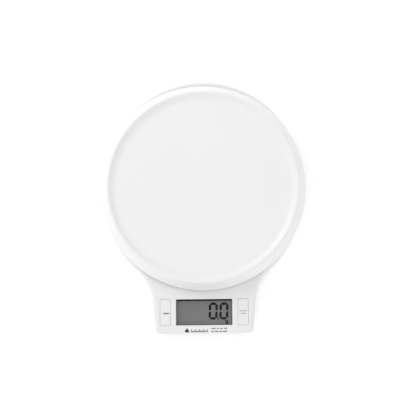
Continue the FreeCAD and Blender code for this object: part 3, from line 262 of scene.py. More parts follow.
def moulded_plastic(name, tint, roughness, grain, grain_height, mottle=0.02):
    """Injection moulded plastic: eroded-mould grain, faint flow mottle and uneven gloss."""
    material, coordinates = new_material(name)
    flow = spread(noise(coordinates, 22.0, detail=4.0, roughness=0.55))
    rubbed = noise(coordinates, 75.0, detail=5.0, roughness=0.6)
    return shaded(material, {
        "Base Color": blend_colours(flow, scaled(tint, 1.0 - mottle), scaled(tint, 1.0 + mottle)),
        "Roughness": spread(rubbed, roughness - 0.04, roughness + 0.05),
        "Normal": bump(noise(coordinates, grain, detail=2.0, roughness=0.6), grain_height),
        "IOR": 1.49,
    })


def rubber(name, tint):
    """Matt moulded rubber with a dusty bloom."""
    material, coordinates = new_material(name)
    dust = spread(noise(coordinates, 240.0, detail=5.0, roughness=0.6))
    return shaded(material, {
        "Base Color": blend_colours(dust, tint, scaled(tint, 1.3)),
        "Roughness": 0.82,
        "Normal": bump(noise(coordinates, 1800.0), 0.02 * MM),
    })


def metal(name, tint, roughness, stretch=(1.0, 1.0, 1.0), grain=900.0):
    """Metal with fine tool marks; `stretch` draws the marks out along an axis."""
    material, coordinates = new_material(name)
    marks = noise(stretched(coordinates, stretch), grain, roughness=0.6)
    return shaded(material, {
        "Base Color": blend_colours(spread(marks), scaled(tint, 0.92), scaled(tint, 1.04)),
        "Roughness": spread(marks, roughness - 0.05, roughness + 0.08),
        "Metallic": 1.0,
        "Normal": bump(marks, 0.006 * MM),
    })


def printed_ink(name, tint, gloss=0.5):
    """Pad-printed ink: slightly uneven cover."""
    material, coordinates = new_material(name)
    cover = spread(noise(coordinates, 2600.0))
    return shaded(material, {
        "Base Color": blend_colours(cover, scaled(tint, 0.85), scaled(tint, 1.25)),
        "Roughness": 0.55,
        "Specular IOR Level": gloss,
    })


def display_panel(name, tint):
    """A reflective liquid crystal panel: grey polariser with fine rubbing lines and a slow tone change."""
    material, coordinates = new_material(name)
    slow = spread(noise(coordinates, 28.0, detail=1.0))
    rubbing = stretched(coordinates, (1.0, 0.05, 1.0), math.radians(45.0))
    return shaded(material, {
        "Base Color": blend_colours(slow, scaled(tint, 0.95), scaled(tint, 1.06)),
        "Roughness": 0.34,
        "Specular IOR Level": 0.35,
        "Normal": bump(noise(rubbing, 5000.0, detail=2.0), 0.002 * MM),
    })


def clear_lens(name):
    """Thin clear acrylic, nearly unseen straight on."""
    material, coordinates = new_material(name)
    material.surface_render_method = "BLENDED"
    return shaded(material, {
        "Base Color": (0.05, 0.055, 0.055, 1.0),
        "Roughness": spread(noise(coordinates, 60.0), 0.03, 0.08),
        "Alpha": 0.10,
        "IOR": 1.49,
    })


def circuit_board(name):
    """Green solder mask with copper tracks showing through."""
    material, coordinates = new_material(name)
    cells = add_node(material.node_tree, "ShaderNodeTexVoronoi", {"Vector": coordinates, "Scale": 260.0},
                     distance="MANHATTAN")
    track = spread(cells.outputs["Distance"], start=0.35, stop=0.45)
    return shaded(material, {
        "Base Color": blend_colours(track, (0.015, 0.12, 0.035), (0.03, 0.22, 0.07)),
        "Roughness": 0.35,
        "Normal": bump(track, 0.03 * MM),
    })


def battery_sleeve(name):
    """A dry cell's printed sleeve: dark, with a copper-coloured band at one end."""
    material, coordinates = new_material(name)
    split = add_node(material.node_tree, "ShaderNodeSeparateXYZ", {"Vector": coordinates})
    band = spread(split.outputs["X"], start=9.0 * MM, stop=9.3 * MM)
    return shaded(material, {
        "Base Color": blend_colours(band, (0.03, 0.035, 0.04), (0.55, 0.30, 0.12)),
        "Roughness": spread(noise(coordinates, 300.0), 0.22, 0.34),
        "Metallic": 0.6,
    })


# --- Mesh helpers ---
def to_mesh(name, bm):
    """Turns a bmesh into a mesh and frees it."""
    mesh = bpy.data.meshes.new(name)
    bm.to_mesh(mesh)
    bm.free()
    return mesh


def put(name, data):
    """Puts a new object into the scene."""
    thing = bpy.data.objects.new(name, data)
    bpy.context.scene.collection.objects.link(thing)
    return thing


def evaluated(carrier):
    """The mesh that an object's modifiers make."""
    graph = bpy.context.evaluated_depsgraph_get()
    return bpy.data.meshes.new_from_object(carrier.evaluated_get(graph))


def outward(bm):
    """Joins points that coincide and turns every face outward."""
    bmesh.ops.remove_doubles(bm, verts=bm.verts, dist=SAME_POINT)
    bmesh.ops.recalc_face_normals(bm, faces=bm.faces)


def append(bm, shell):
    """Adds a closed shell to a bmesh and frees it."""
    outward(shell)
    mesh = to_mesh("shell", shell)
    bm.from_mesh(mesh)
    bpy.data.meshes.remove(mesh)


def flat_faces_flat(mesh):
    """A mesh whose normals follow its large faces, so that a flat face beside a rounded edge stays flat."""
    carrier = put("normals", mesh)
    modifier = carrier.modifiers.new("normals", "WEIGHTED_NORMAL")
    modifier.keep_sharp = True
    modifier.weight = 60
    result = evaluated(carrier)
    bpy.data.objects.remove(carrier)
    bpy.data.meshes.remove(mesh)
    return result


def adopt(name, mesh, material, body, smooth_angle=32.0, replaced=()):
    """Makes a mesh into a piece of a body, smooth except where it bends by more than an angle."""
    for polygon in mesh.polygons:
        polygon.use_smooth = True
    mesh.set_sharp_from_angle(angle=math.radians(smooth_angle))
    mesh = flat_faces_flat(mesh)
    mesh.materials.clear()
    mesh.materials.append(material)
    piece = put(name, mesh)
    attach(piece, body)
    if replaced:
        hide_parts(*replaced)


def add_piece(name, bm, material, body, smooth_angle=32.0, replaced=()):
    """Makes a bmesh of closed shells into a piece of a body."""
    outward(bm)
    adopt(name, to_mesh(name, bm), material, body, smooth_angle, replaced)


def smooth_copy(node, material):
    """A node's own shape with its triangles joined, so that its round faces shade smoothly."""
    name = node + "_finish"
    adopt(name, to_mesh(name, merged_copy(node)), material, BODY_OF[node], replaced=(node,))


def loft(bm, rings, caps=True):
    """Joins rings of points, each of the same count, into a shell."""
    loops = [[bm.verts.new(point) for point in ring] for ring in rings]
    count = len(loops[0])
    for low, high in zip(loops, loops[1:]):
        for index in range(count):
            after = (index + 1) % count
            bm.faces.new((low[index], low[after], high[after], high[index]))
    if caps:
        bm.faces.new(list(reversed(loops[0])))
        bm.faces.new(loops[-1])


def lathe(profile, centre, segments):
    """A new bmesh: a closed profile of (radius, height) points, turned; points on the axis become poles."""
    bm = bmesh.new()
    columns = []
    for radius, height in profile:
        count = segments if radius > SAME_POINT else 1
        angles = [TURN * step / segments for step in range(count)]
        columns.append([bm.verts.new((centre.x + radius * math.cos(angle),
                                      centre.y + radius * math.sin(angle), height)) for angle in angles])
    for first, second in zip(columns, columns[1:]):
        for step in range(segments):
            after = (step + 1) % segments
            corners = [first[step % len(first)], first[after % len(first)],
                       second[after % len(second)], second[step % len(second)]]
            unique = list(dict.fromkeys(corners))
            if len(unique) > 2:
                bm.faces.new(unique)
    return bm


def arc(centre, radius, start, stop, steps):
    """Points on an arc, angles in radians, both ends included."""
    angles = [start + (stop - start) * step / steps for step in range(steps + 1)]
    return [Vector((centre[0] + radius * math.cos(angle), centre[1] + radius * math.sin(angle)))
            for angle in angles]


def rounded_rectangle(centre, width, depth, radius, steps=6):
    """Points round a rectangle with round corners, counter-clockwise, in plan."""
    points = []
    for quarter, (i, j) in enumerate(((1, 1), (-1, 1), (-1, -1), (1, -1))):
        corner = (centre[0] + i * (width / 2 - radius), centre[1] + j * (depth / 2 - radius))
        points.extend(arc(corner, radius, quarter * QUARTER, (quarter + 1) * QUARTER, steps))
    return points


def at_height(points, height):
    return [(point[0], point[1], height) for point in points]


def slab(bm, points, low, high):
    """A closed plate of a convex outline."""
    loft(bm, [at_height(points, low), at_height(points, high)])


def block(bm, centre, width, depth, low, high, radius, edge, corner_steps=6):
    """A closed block with round corners and a rounded upper edge."""
    rings = [at_height(rounded_rectangle(centre, width, depth, radius, corner_steps), low)]
    smallest_corner = 0.02 * MM
    for point in arc((0.0, high - edge), edge, 0.0, QUARTER, 4):
        inset = edge - point.x
        corner = max(radius - inset, smallest_corner)
        rings.append(at_height(rounded_rectangle(centre, width - 2 * inset, depth - 2 * inset, corner,
                                                 corner_steps), point.y))
    loft(bm, rings)


def cylinder(centre, radius, low, high, segments, edge=0.0):
    """A new bmesh: a closed upright cylinder with bevelled rims."""
    profile = [(0.0, low), (radius - edge, low), (radius, low + edge), (radius, high - edge),
               (radius - edge, high), (0.0, high)]
    return lathe(profile, centre, segments)


def rounded_corner(before, corner, after, radius, steps):
    """Replaces a profile corner by an arc tangent to both sides."""
    before, corner, after = Vector(before), Vector(corner), Vector(after)
    inward = (before - corner).normalized()
    onward = (after - corner).normalized()
    half = inward.angle(onward) / 2
    reach = radius / math.tan(half)
    centre = corner + (inward + onward).normalized() * (reach / math.cos(half))
    first = corner + inward * reach - centre
    last = corner + onward * reach - centre
    turn = first.angle_signed(last)
    return [tuple(centre + Matrix.Rotation(-turn * step / steps, 2) @ first) for step in range(steps + 1)]


def carve(solid, cutters):
    """Cuts closed shells out of a solid bmesh and returns the resulting mesh."""
    solid, *cutters = [put("carved", to_mesh("carved", bm)) for bm in (solid, *cutters)]
    for cutter in cutters:
        modifier = solid.modifiers.new(cutter.name, "BOOLEAN")
        modifier.operation = "DIFFERENCE"
        modifier.solver = "EXACT"
        modifier.object = cutter
    result = evaluated(solid)
    for thing in (solid, *cutters):
        bpy.data.objects.remove(thing)
    return result


# --- Pan ---
def pan_profile(settings):
    """The pan's cross-section: dish, concave slope, rounded crest, flank, lip, underside with its rib."""
    low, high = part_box("weighing_pan")
    radius = (high[0] - low[0]) / 2
    rounding = settings.crest_rounding
    dish = high[2] - settings.dish_depth
    wall = settings.wall
    run = settings.crest_radius - settings.dish_radius
    slope = (run ** 2 + settings.dish_depth ** 2) / (2 * settings.dish_depth) - rounding
    slope_centre = Vector((settings.dish_radius, dish + slope))
    crest_centre = Vector((settings.crest_radius, high[2] - rounding))
    lean = math.atan2(crest_centre.y - slope_centre.y, crest_centre.x - slope_centre.x)
    edge_top = Vector((radius, low[2] + settings.lip))
    edge_low = (radius, low[2])
    to_edge = edge_top - crest_centre
    turn = math.atan2(to_edge.y, to_edge.x) + math.acos(rounding / to_edge.length)
    shoulder_rounding = 0.45 * MM
    rim_rounding = 0.25 * MM
    profile = [(settings.dish_radius * share, dish) for share in (0.0, 0.35, 0.7, 0.97)]
    profile += arc(slope_centre, slope, -QUARTER, lean, 14)
    profile += arc(crest_centre, rounding, lean + math.pi, turn, 12)[1:]
    profile += rounded_corner(profile[-1], edge_top, edge_low, shoulder_rounding, 4)
    inner = radius - 0.75 * wall
    profile += rounded_corner(edge_top, edge_low, (inner, low[2]), rim_rounding, 3)
    profile += [(inner, low[2]), (inner, low[2] + settings.lip)]
    under = dish - wall
    rib = settings.rib_radius
    rib_low = under - settings.rib_depth
    half_root, half_foot = 0.8 * MM, 0.7 * MM
    profile += [(settings.crest_radius - 0.1 * wall, high[2] - 1.2 * wall),
                (settings.dish_radius + 1.0 * MM, under), (rib + half_root, under),
                (rib + half_foot, rib_low), (rib - half_foot, rib_low), (rib - half_root, under),
                (0.0, under)]
    return profile


class SCALE_OT_pan(Operator):
    """Build the weighing pan and finish its carrier"""

    bl_idname = "scale.pan"
    bl_label = "Weighing Pan"

    def execute(self, context):
        settings = context.scene.scale_pan
        white = moulded_plastic("white pan plastic", settings.tint, 0.36, 3200.0, 0.006 * MM, 0.006)
        bm = lathe(pan_profile(settings), middle("weighing_pan"), settings.segments)
        carrier_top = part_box("pan_carrier")[1][2]
        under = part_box("weighing_pan")[1][2] - settings.dish_depth - settings.wall
        boss_radius, overlap = 4.0 * MM, 0.5 * MM
        for low, high in island_boxes("pan_screws"):
            append(bm, cylinder((low + high) / 2, boss_radius, carrier_top, under + overlap, 40, 0.2 * MM))
        add_piece("weighing_pan_moulding", bm, white, "pan", 40.0, ("weighing_pan",))
        grey = moulded_plastic("grey carrier plastic", (0.09, 0.09, 0.095), 0.5, 2400.0, 0.02 * MM)
        smooth_copy("pan_carrier", grey)
        return {"FINISHED"}


# --- Housing ---
def housing_outline(settings, inset):
    """Points round the housing in plan, counter-clockwise, moved inwards by `inset`.

    The oval is four arcs; the neck's tapered sides run into it through a concave arc.
    """
    low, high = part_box("upper_housing")
    pan_y = middle("weighing_pan").y
    half_width = (high[0] - low[0]) / 2
    end_radius = settings.end_radius
    shift = high[1] - pan_y - end_radius
    side_radius = (half_width ** 2 - end_radius ** 2 + shift ** 2) / (2 * (half_width - end_radius))
    rear = Vector((0.0, pan_y + shift))
    front = Vector((0.0, pan_y - shift))
    side_centre = Vector((half_width - side_radius, pan_y))
    along = Vector((settings.neck_taper, 1.0)).normalized()
    aside = Vector((1.0, -settings.neck_taper)).normalized()
    foot = Vector((settings.neck_half_width, low[1]))
    flare = settings.flare_radius
    reach = foot + aside * flare - front
    root = math.sqrt(reach.dot(along) ** 2 - reach.length_squared + (end_radius + flare) ** 2)
    flare_centre = foot + aside * flare + along * (-reach.dot(along) - root)
    corner = settings.corner_radius
    corner_centre = foot - aside * corner
    corner_centre = corner_centre + along * ((low[1] + corner - corner_centre.y) / along.y)

    lean = math.atan2(aside.y, aside.x)
    to_flare = math.atan2(flare_centre.y - front.y, flare_centre.x - front.x)
    turn = math.atan2(front.y - side_centre.y, front.x - side_centre.x)
    steps = settings.arc_steps
    points = arc(corner_centre, corner - inset, -QUARTER, lean, 12)
    points += arc(flare_centre, flare + inset, math.pi + lean, to_flare + math.pi, steps)
    points += arc(front, end_radius - inset, to_flare, turn, steps // 2)[1:]
    points += arc(side_centre, side_radius - inset, turn, -turn, steps // 2)[1:]
    points += arc(rear, end_radius - inset, -turn, QUARTER, 2 * steps)[1:]
    return points + [Vector((-point.x, point.y)) for point in reversed(points[:-1])]


def housing_rings(settings, low, high):
    """Rings from a small bevel at height `low` up to a rounded edge at height `high`."""
    bevel = 0.12 * MM
    edge = settings.edge_radius
    rings = [at_height(housing_outline(settings, bevel), low),
             at_height(housing_outline(settings, 0.0), low + bevel)]
    for point in arc((0.0, high - edge), edge, 0.0, QUARTER, 8):
        rings.append(at_height(housing_outline(settings, edge - point.x), point.y))
    return rings


def slot_cutter(centre, width, depth, radius, low, high, chamfer):
    """A cutter for an opening with a bevelled upper rim."""
    bm = bmesh.new()
    beyond = 0.4 * MM
    side = chamfer + beyond
    slot = rounded_rectangle(centre, width, depth, radius)
    mouth = rounded_rectangle(centre, width + 2 * side, depth + 2 * side, radius + side)
    loft(bm, [at_height(slot, low - beyond), at_height(slot, high - chamfer),
              at_height(mouth, high + beyond)])
    outward(bm)
    return bm


class SCALE_OT_housing(Operator):
    """Build the upper housing and the feet, and finish the lower housing with its door and label"""

    bl_idname = "scale.housing"
    bl_label = "Housing"

    def execute(self, context):
        settings = context.scene.scale_housing
        white = moulded_plastic("white housing plastic", settings.tint, 0.40, 2600.0, 0.012 * MM, 0.008)
        self.upper(context, settings, white)
        smooth_copy("lower_housing", white)
        smooth_copy("battery_door", white)
        self.feet()
        film = metal("blank label film", (0.58, 0.585, 0.59), 0.42, (1.0, 0.04, 1.0), 1500.0)
        smooth_copy("blank_rating_label", film)
        return {"FINISHED"}

    def upper(self, context, settings, white):
        """The shell with its hollow, and its openings for the display, the keys and the load cell's hub."""
        low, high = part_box("upper_housing")
        ceiling = high[2] - settings.wall
        below = 1.0 * MM
        shell = bmesh.new()
        loft(shell, housing_rings(settings, low[2], high[2]))
        outward(shell)
        hollow = bmesh.new()
        slab(hollow, housing_outline(settings, settings.wall), low[2] - below, ceiling)
        outward(hollow)
        display = context.scene.scale_display
        keys = context.scene.scale_keys
        key_slot = (keys.cap_width + 2 * keys.gap, keys.cap_length + 2 * keys.gap, keys.corner + keys.gap)
        hub = (island_boxes("carrier_screws")[0][0] + island_boxes("carrier_screws")[-1][1]) / 2
        window_slot = (display.window_width, display.window_length, 0.25 * MM)
        hub_slot = (27.0 * MM, 17.0 * MM, 3.0 * MM)
        openings = [
            (middle("display_lens"), window_slot, settings.window_chamfer),
            (middle("mode_key"), key_slot, 0.12 * MM),
            (middle("tare_key"), key_slot, 0.12 * MM),
            (hub, hub_slot, 0.1 * MM),
        ]
        cutters = [slot_cutter(place, *slot, ceiling, high[2], chamfer) for place, slot, chamfer in openings]
        mesh = carve(shell, [hollow] + cutters)
        bm = bmesh.new()
        bm.from_mesh(mesh)
        bpy.data.meshes.remove(mesh)
        self.posts(bm, settings, ceiling)
        name = "upper_housing_moulding"
        adopt(name, to_mesh(name, bm), white, "housing", 30.0, ("upper_housing",))

    def posts(self, bm, settings, ceiling):
        """Screw posts under the top wall."""
        overlap = 0.2 * MM
        rows = (("housing_screws", 3.5 * MM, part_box("lower_housing")[0][2] + settings.parting),
                ("board_screws", 3.2 * MM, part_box("main_circuit_board")[1][2]))
        for node, radius, foot in rows:
            for low, high in island_boxes(node):
                append(bm, cylinder((low + high) / 2, radius, foot, ceiling + overlap, 32))

    def feet(self):
        """Round rubber feet with a rounded rim and two grooves in the tread."""
        groove = ((-0.05, 0.0), (-0.03, 0.35 * MM), (0.03, 0.35 * MM), (0.05, 0.0))
        rim_rounding = 0.7 * MM
        bm = bmesh.new()
        for low, high in island_boxes("rubber_feet"):
            radius = (high.x - low.x) / 2
            profile = [(0.0, low.z)]
            for share in (0.34, 0.66):
                profile += [(radius * (share + step), low.z + lift) for step, lift in groove]
            rim = (radius, low.z)
            profile += rounded_corner((radius * 0.7, low.z), rim, (radius, high.z), rim_rounding, 5)
            profile += [(radius, high.z), (0.0, high.z)]
            append(bm, lathe(profile, (low + high) / 2, 64))
        grey = rubber("grey foot rubber", (0.22, 0.225, 0.23))
        add_piece("rubber_feet_moulding", bm, grey, "housing", replaced=("rubber_feet",))


# --- Flat shapes for the display and the printed marks ---
class Print:
    """Thin flat shapes on a level face, with places and sizes in millimetres from an origin."""

    def __init__(self, origin, low, high):
        self.bm = bmesh.new()
        self.origin = Vector(origin[:2])
        self.low = low
        self.high = high

    def shape(self, corners):
        """A convex shape."""
        slab(self.bm, [self.origin + Vector(corner) * MM for corner in corners], self.low, self.high)

    def bar(self, x, y, width, depth, corner, steps=2):
        """A bar with round corners."""
        self.shape(rounded_rectangle((x, y), width, depth, corner, steps))

    def arrowhead(self, x, y, reach, rise):
        """A triangle with its tip at a place."""
        self.shape([(x, y), (x + reach, y + rise), (x + reach, y - rise)])

    def ring(self, x, y, inner, outer, steps, opening=0.0, stretch=1.0):
        """A flat ring, open at the top by `opening` to each side, and stretched front to back."""
        centre = Vector((x, y))
        sections = []
        for way in arc((0.0, 0.0), 1.0, QUARTER + opening, QUARTER + TURN - opening, steps):
            way.y *= stretch
            near, far = (self.origin + (centre + way * radius) * MM for radius in (inner, outer))
            sections.append(at_height((near, far), self.low) + at_height((far, near), self.high))
        loft(self.bm, sections, caps=opening > 0.0)


# --- Display ---
def segment_outlines(origin, width, height, stroke, gap):
    """The outer segments of a digit, each a bar with pointed ends, as closed point lists."""
    half = height / 2
    bars = [((0, y), (width, y)) for y in (height, 0)]
    bars += [((x, y), (x, y + half)) for y in (half, 0) for x in (0, width)]
    shapes = []
    for start, stop in bars:
        start, stop = Vector(start), Vector(stop)
        along = (stop - start).normalized()
        across = Vector((-along.y, along.x)) * stroke / 2
        first = start + along * gap
        last = stop - along * gap
        inner = along * stroke / 2
        shapes.append([origin + point for point in (
            first, first + inner - across, last - inner - across, last, last - inner + across,
            first + inner + across)])
    return shapes


def sheared(points, base_y, slant):
    """Points leaning to the right in proportion to their distance behind a line."""
    return [Vector((point.x + (point.y - base_y) * slant, point.y)) for point in points]


class SCALE_OT_display(Operator):
    """Build the display: lens, mask, grey panel, digits and unit mark"""

    bl_idname = "scale.display"
    bl_label = "Display"

    def execute(self, context):
        settings = context.scene.scale_display
        centre = middle("display_lens")
        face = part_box("display_glass")[1][2]
        grey = display_panel("liquid crystal grey", settings.panel_tint)
        self.sheet("display_panel", "display_glass", grey, 0.3 * MM)
        self.mask(settings, centre, face)
        self.digits(settings, centre, face)
        self.sheet("display_lens_sheet", "display_lens", clear_lens("clear acrylic"), 1.0 * MM)
        return {"FINISHED"}

    def sheet(self, name, node, material, corner):
        """A rectangular sheet with a rounded upper edge, in the place of a node."""
        centre = middle("display_lens")
        size = span(node)
        low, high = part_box(node)
        bm = bmesh.new()
        block(bm, centre, size.x, size.y, low[2], high[2], corner, 0.1 * MM)
        add_piece(name, bm, material, "housing", 30.0, (node,))

    def mask(self, settings, centre, face):
        """A thin black border between the lens and the panel, broadest at the rear."""
        side = 0.22 * MM
        rear = 1.3 * MM
        corner = 0.4 * MM
        low = face + 0.01 * MM
        high = face + 0.05 * MM
        size = span("display_glass")
        outer = rounded_rectangle(centre, size.x, size.y, corner)
        inner = rounded_rectangle((centre.x, centre.y - (rear - side) / 2), settings.window_width - 2 * side,
                                  settings.window_length - side - rear, corner)
        bm = bmesh.new()
        loft(bm, [at_height(inner, low), at_height(outer, low), at_height(outer, high),
                  at_height(inner, high), at_height(inner, low)], caps=False)
        black = printed_ink("black mask ink", (0.006, 0.006, 0.006), gloss=0.05)
        add_piece("display_mask", bm, black, "housing")

    def digits(self, settings, centre, face):
        """Two noughts with a point between them, right of the middle, and a small unit mark below."""
        low = face + 0.01 * MM
        high = face + 0.04 * MM
        stroke = settings.stroke
        width = settings.digit_width - stroke
        height = settings.digit_height - stroke
        right = centre.x + settings.digits_end - stroke / 2 - width
        base = centre.y + settings.digits_rise - settings.digit_height / 2 + stroke / 2
        segment_gap, point_size = 0.17 * MM, 1.3 * MM
        unit = Print((right + width - 0.6 * MM, base - 2.3 * MM), low, high)
        for place in range(2):
            origin = Vector((right - place * settings.digit_pitch, base))
            for outline in segment_outlines(origin, width, height, stroke, segment_gap):
                slab(unit.bm, sheared(outline, centre.y, settings.slant), low, high)
        point = (right - (settings.digit_pitch - width) / 2, base - 0.1 * MM)
        outline = rounded_rectangle(point, point_size, point_size, 0.3 * MM, 3)
        slab(unit.bm, sheared(outline, centre.y, settings.slant), low, high)
        self.gram_sign(unit)
        black = printed_ink("lit segment black", settings.digit_tint, gloss=0.05)
        add_piece("display_digits", unit.bm, black, "housing")

    def gram_sign(self, unit):
        """A small round bowl with a hooked tail."""
        stroke, bowl, tail = 0.62, 0.85, 2.0
        unit.ring(0.0, 0.0, bowl - stroke / 2, bowl + stroke / 2, 20)
        unit.bar(bowl, 0.4 - tail / 2, stroke, tail + 0.6, 0.1)
        unit.bar(bowl / 4, 0.15 - tail, 1.5 * bowl, stroke, 0.1)


# --- Keys and printed marks ---
INK_THICKNESS = 0.02 * MM


class SCALE_OT_keys(Operator):
    """Build the two key caps and the marks printed on them and on the neck"""

    bl_idname = "scale.keys"
    bl_label = "Keys"

    def execute(self, context):
        settings = context.scene.scale_keys
        white = moulded_plastic("white key plastic", settings.tint, 0.38, 2600.0, 0.010 * MM, 0.006)
        dark = printed_ink("dark key ink", settings.mark_tint)
        pale = printed_ink("grey key ink", scaled(settings.mark_tint, 9.0))
        housing_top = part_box("upper_housing")[1][2]
        for node, draw, ink in (("mode_key", self.mode_mark, dark), ("tare_key", self.tare_mark, pale)):
            self.cap(node, settings, housing_top, white)
            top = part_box(node)[1][2]
            marks = Print(middle(node), top, top + INK_THICKNESS)
            draw(marks)
            add_piece(node + "_mark", marks.bm, ink, node)
        self.neck_marks(context, housing_top)
        return {"FINISHED"}

    def cap(self, node, settings, housing_top, white):
        """A key: cap, flange that stops it under the housing, and plunger."""
        low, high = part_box(node)
        centre = middle(node)
        size = span(node)
        flange_top = housing_top - 2.4 * MM
        flange_thickness = 1.2 * MM
        overlap = 0.1 * MM
        plunger_radius = 2.0 * MM
        bm = bmesh.new()
        block(bm, centre, size.x, size.y, flange_top - flange_thickness, flange_top, 1.0 * MM, 0.1 * MM)
        block(bm, centre, settings.cap_width, settings.cap_length, flange_top - overlap, high[2],
              settings.corner, 0.2 * MM, 8)
        plunger_top = flange_top - flange_thickness + overlap
        append(bm, cylinder(centre, plunger_radius, low[2], plunger_top, 32, 0.1 * MM))
        add_piece(node + "_moulding", bm, white, node, 40.0, (node,))

    def mode_mark(self, marks):
        """Four short bars between two arrowheads: step through the modes."""
        x, y = 0.7, -0.8
        for step in (-1.5, -0.5, 0.5, 1.5):
            marks.bar(x + step, y, 0.72, 1.15, 0.12)
        for side in (1, -1):
            marks.arrowhead(x + side * 2.9, y, -side * 0.65, 0.58)

    def tare_mark(self, marks):
        """Two rows: a power sign between bars, and a nought between two arrows."""
        power_y, nought_y = 0.75, -1.3
        marks.ring(0.0, power_y, 0.42, 0.72, 18, opening=math.radians(38.0))
        marks.bar(0.0, power_y + 0.45, 0.26, 0.8, 0.08)
        marks.ring(0.0, nought_y, 0.28, 0.6, 16, stretch=1.15)
        for side in (1, -1):
            marks.bar(side * 2.0, power_y, 1.8, 0.62, 0.2)
            marks.arrowhead(side * 0.85, nought_y, side * 0.65, 0.5)
            marks.bar(side * 1.9, nought_y, 0.85, 0.42, 0.08)

    def neck_marks(self, context, top):
        """A weight sign, a graduated bar and two rows of short rules, printed in front of the window."""
        window = middle("display_lens")
        y = window.y - context.scene.scale_display.window_length / 2 - 4.0 * MM
        dark = Print((window.x, y), top, top + INK_THICKNESS)
        weight_x = -13.8
        half_foot, half_head = 1.7, 1.15
        dark.shape([(weight_x - half_foot, -1.6), (weight_x + half_foot, -1.6), (weight_x + half_head, 0.7),
                    (weight_x - half_head, 0.7)])
        dark.bar(weight_x, 1.15, 1.1, 0.8, 0.3, 3)
        first_x, pitch, base_y = -10.4, 0.8, -1.55
        for step in range(17):
            tall = 2.4 if step % 4 == 0 else 1.3
            dark.bar(first_x + pitch * step, base_y + tall / 2, 0.42, tall, 0.1)
        add_piece("neck_graduation", dark.bm, printed_ink("dark neck ink", (0.035, 0.03, 0.03)), "housing")
        pale = Print((window.x, y), top, top + INK_THICKNESS)
        rows = ((1.3, (3.4, 1.6, 2.2, 2.6)), (-1.1, (1.8, 2.8, 2.0, 3.0)))
        for row_y, sizes in rows:
            x = 5.6
            for size in sizes:
                pale.bar(x + size / 2, row_y, size, 0.95, 0.25)
                x += size + 0.9
        add_piece("neck_rules", pale.bm, printed_ink("grey neck ink", (0.24, 0.23, 0.225)), "housing")


# --- Screws, made with Geometry Nodes ---
SCREW_SIZES = ("Head Radius", "Head Height", "Shank Radius", "Shank Length", "Slot Width", "Slot Depth")


def screw_tree(material):
    """Points in, cross-recess screws out: each point is the seat of a head that hangs below it."""
    tree = bpy.data.node_groups.new("screws at points", "GeometryNodeTree")
    tree.interface.new_socket("Geometry", in_out="INPUT", socket_type="NodeSocketGeometry")
    for name in SCREW_SIZES:
        tree.interface.new_socket(name, in_out="INPUT", socket_type="NodeSocketFloat")
    tree.interface.new_socket("Geometry", in_out="OUTPUT", socket_type="NodeSocketGeometry")
    given = tree.nodes.new("NodeGroupInput").outputs

    def times(value, factor):
        return add_node(tree, "ShaderNodeMath", {0: value, 1: factor}, operation="MULTIPLY").outputs[0]

    def vector(x=0.0, y=0.0, z=0.0):
        return add_node(tree, "ShaderNodeCombineXYZ", {"X": x, "Y": y, "Z": z}).outputs[0]

    def raised(mesh, height):
        values = {"Geometry": mesh.outputs["Mesh"], "Translation": vector(z=height)}
        return add_node(tree, "GeometryNodeTransform", values).outputs["Geometry"]

    def drum(radius, depth, height, vertices):
        values = {"Vertices": vertices, "Radius": radius, "Depth": depth}
        return raised(add_node(tree, "GeometryNodeMeshCylinder", values), height)

    def bar(width, depth, tall, height):
        return raised(add_node(tree, "GeometryNodeMeshCube", {"Size": vector(width, depth, tall)}), height)

    head_radius, head_height = given["Head Radius"], given["Head Height"]
    head = drum(head_radius, head_height, times(head_height, -0.5), 40)
    slot_length = times(head_radius, 1.2)
    slot_tall = times(given["Slot Depth"], 2.0)
    slot_height = times(head_height, -1.0)
    slot_width = given["Slot Width"]
    recess = add_node(tree, "GeometryNodeMeshBoolean", {"Mesh 1": head}, operation="DIFFERENCE")
    for width, depth in ((slot_length, slot_width), (slot_width, slot_length)):
        feed(recess, {"Mesh 2": bar(width, depth, slot_tall, slot_height)})
    shank_length = given["Shank Length"]
    shank = drum(given["Shank Radius"], shank_length, times(shank_length, 0.5), 24)
    screw = add_node(tree, "GeometryNodeJoinGeometry", {"Geometry": recess.outputs["Mesh"]})
    feed(screw, {"Geometry": shank})
    values = {"Points": given["Geometry"], "Instance": screw.outputs["Geometry"]}
    placed = add_node(tree, "GeometryNodeInstanceOnPoints", values)
    real = add_node(tree, "GeometryNodeRealizeInstances", {"Geometry": placed.outputs["Instances"]})
    values = {"Geometry": real.outputs["Geometry"], "Material": material}
    painted = add_node(tree, "GeometryNodeSetMaterial", values)
    add_node(tree, "NodeGroupOutput", {"Geometry": painted.outputs["Geometry"]})
    return tree


def screws(node, head_height, thread_radius, tree, material):
    """Replaces a node of screws by detailed ones at the same places."""
    boxes = island_boxes(node)
    low, high = boxes[0]
    seats = [Vector(((a.x + b.x) / 2, (a.y + b.y) / 2, a.z + head_height)) for a, b in boxes]
    sizes = dict(zip(SCREW_SIZES, ((high.x - low.x) / 2, head_height, thread_radius,
                                   high.z - low.z - head_height, 0.8 * MM, 1.0 * MM)))
    mesh = bpy.data.meshes.new(node + "_points")
    mesh.from_pydata(seats, [], [])
    carrier = put(node + "_points", mesh)
    modifier = carrier.modifiers.new("screws", "NODES")
    modifier.node_group = tree
    for item in tree.interface.items_tree:
        if item.in_out == "INPUT" and item.name in sizes:
            modifier[item.identifier] = float(sizes[item.name])
    result = evaluated(carrier)
    bpy.data.objects.remove(carrier)
    adopt(node + "_turned", result, material, BODY_OF[node], replaced=(node,))


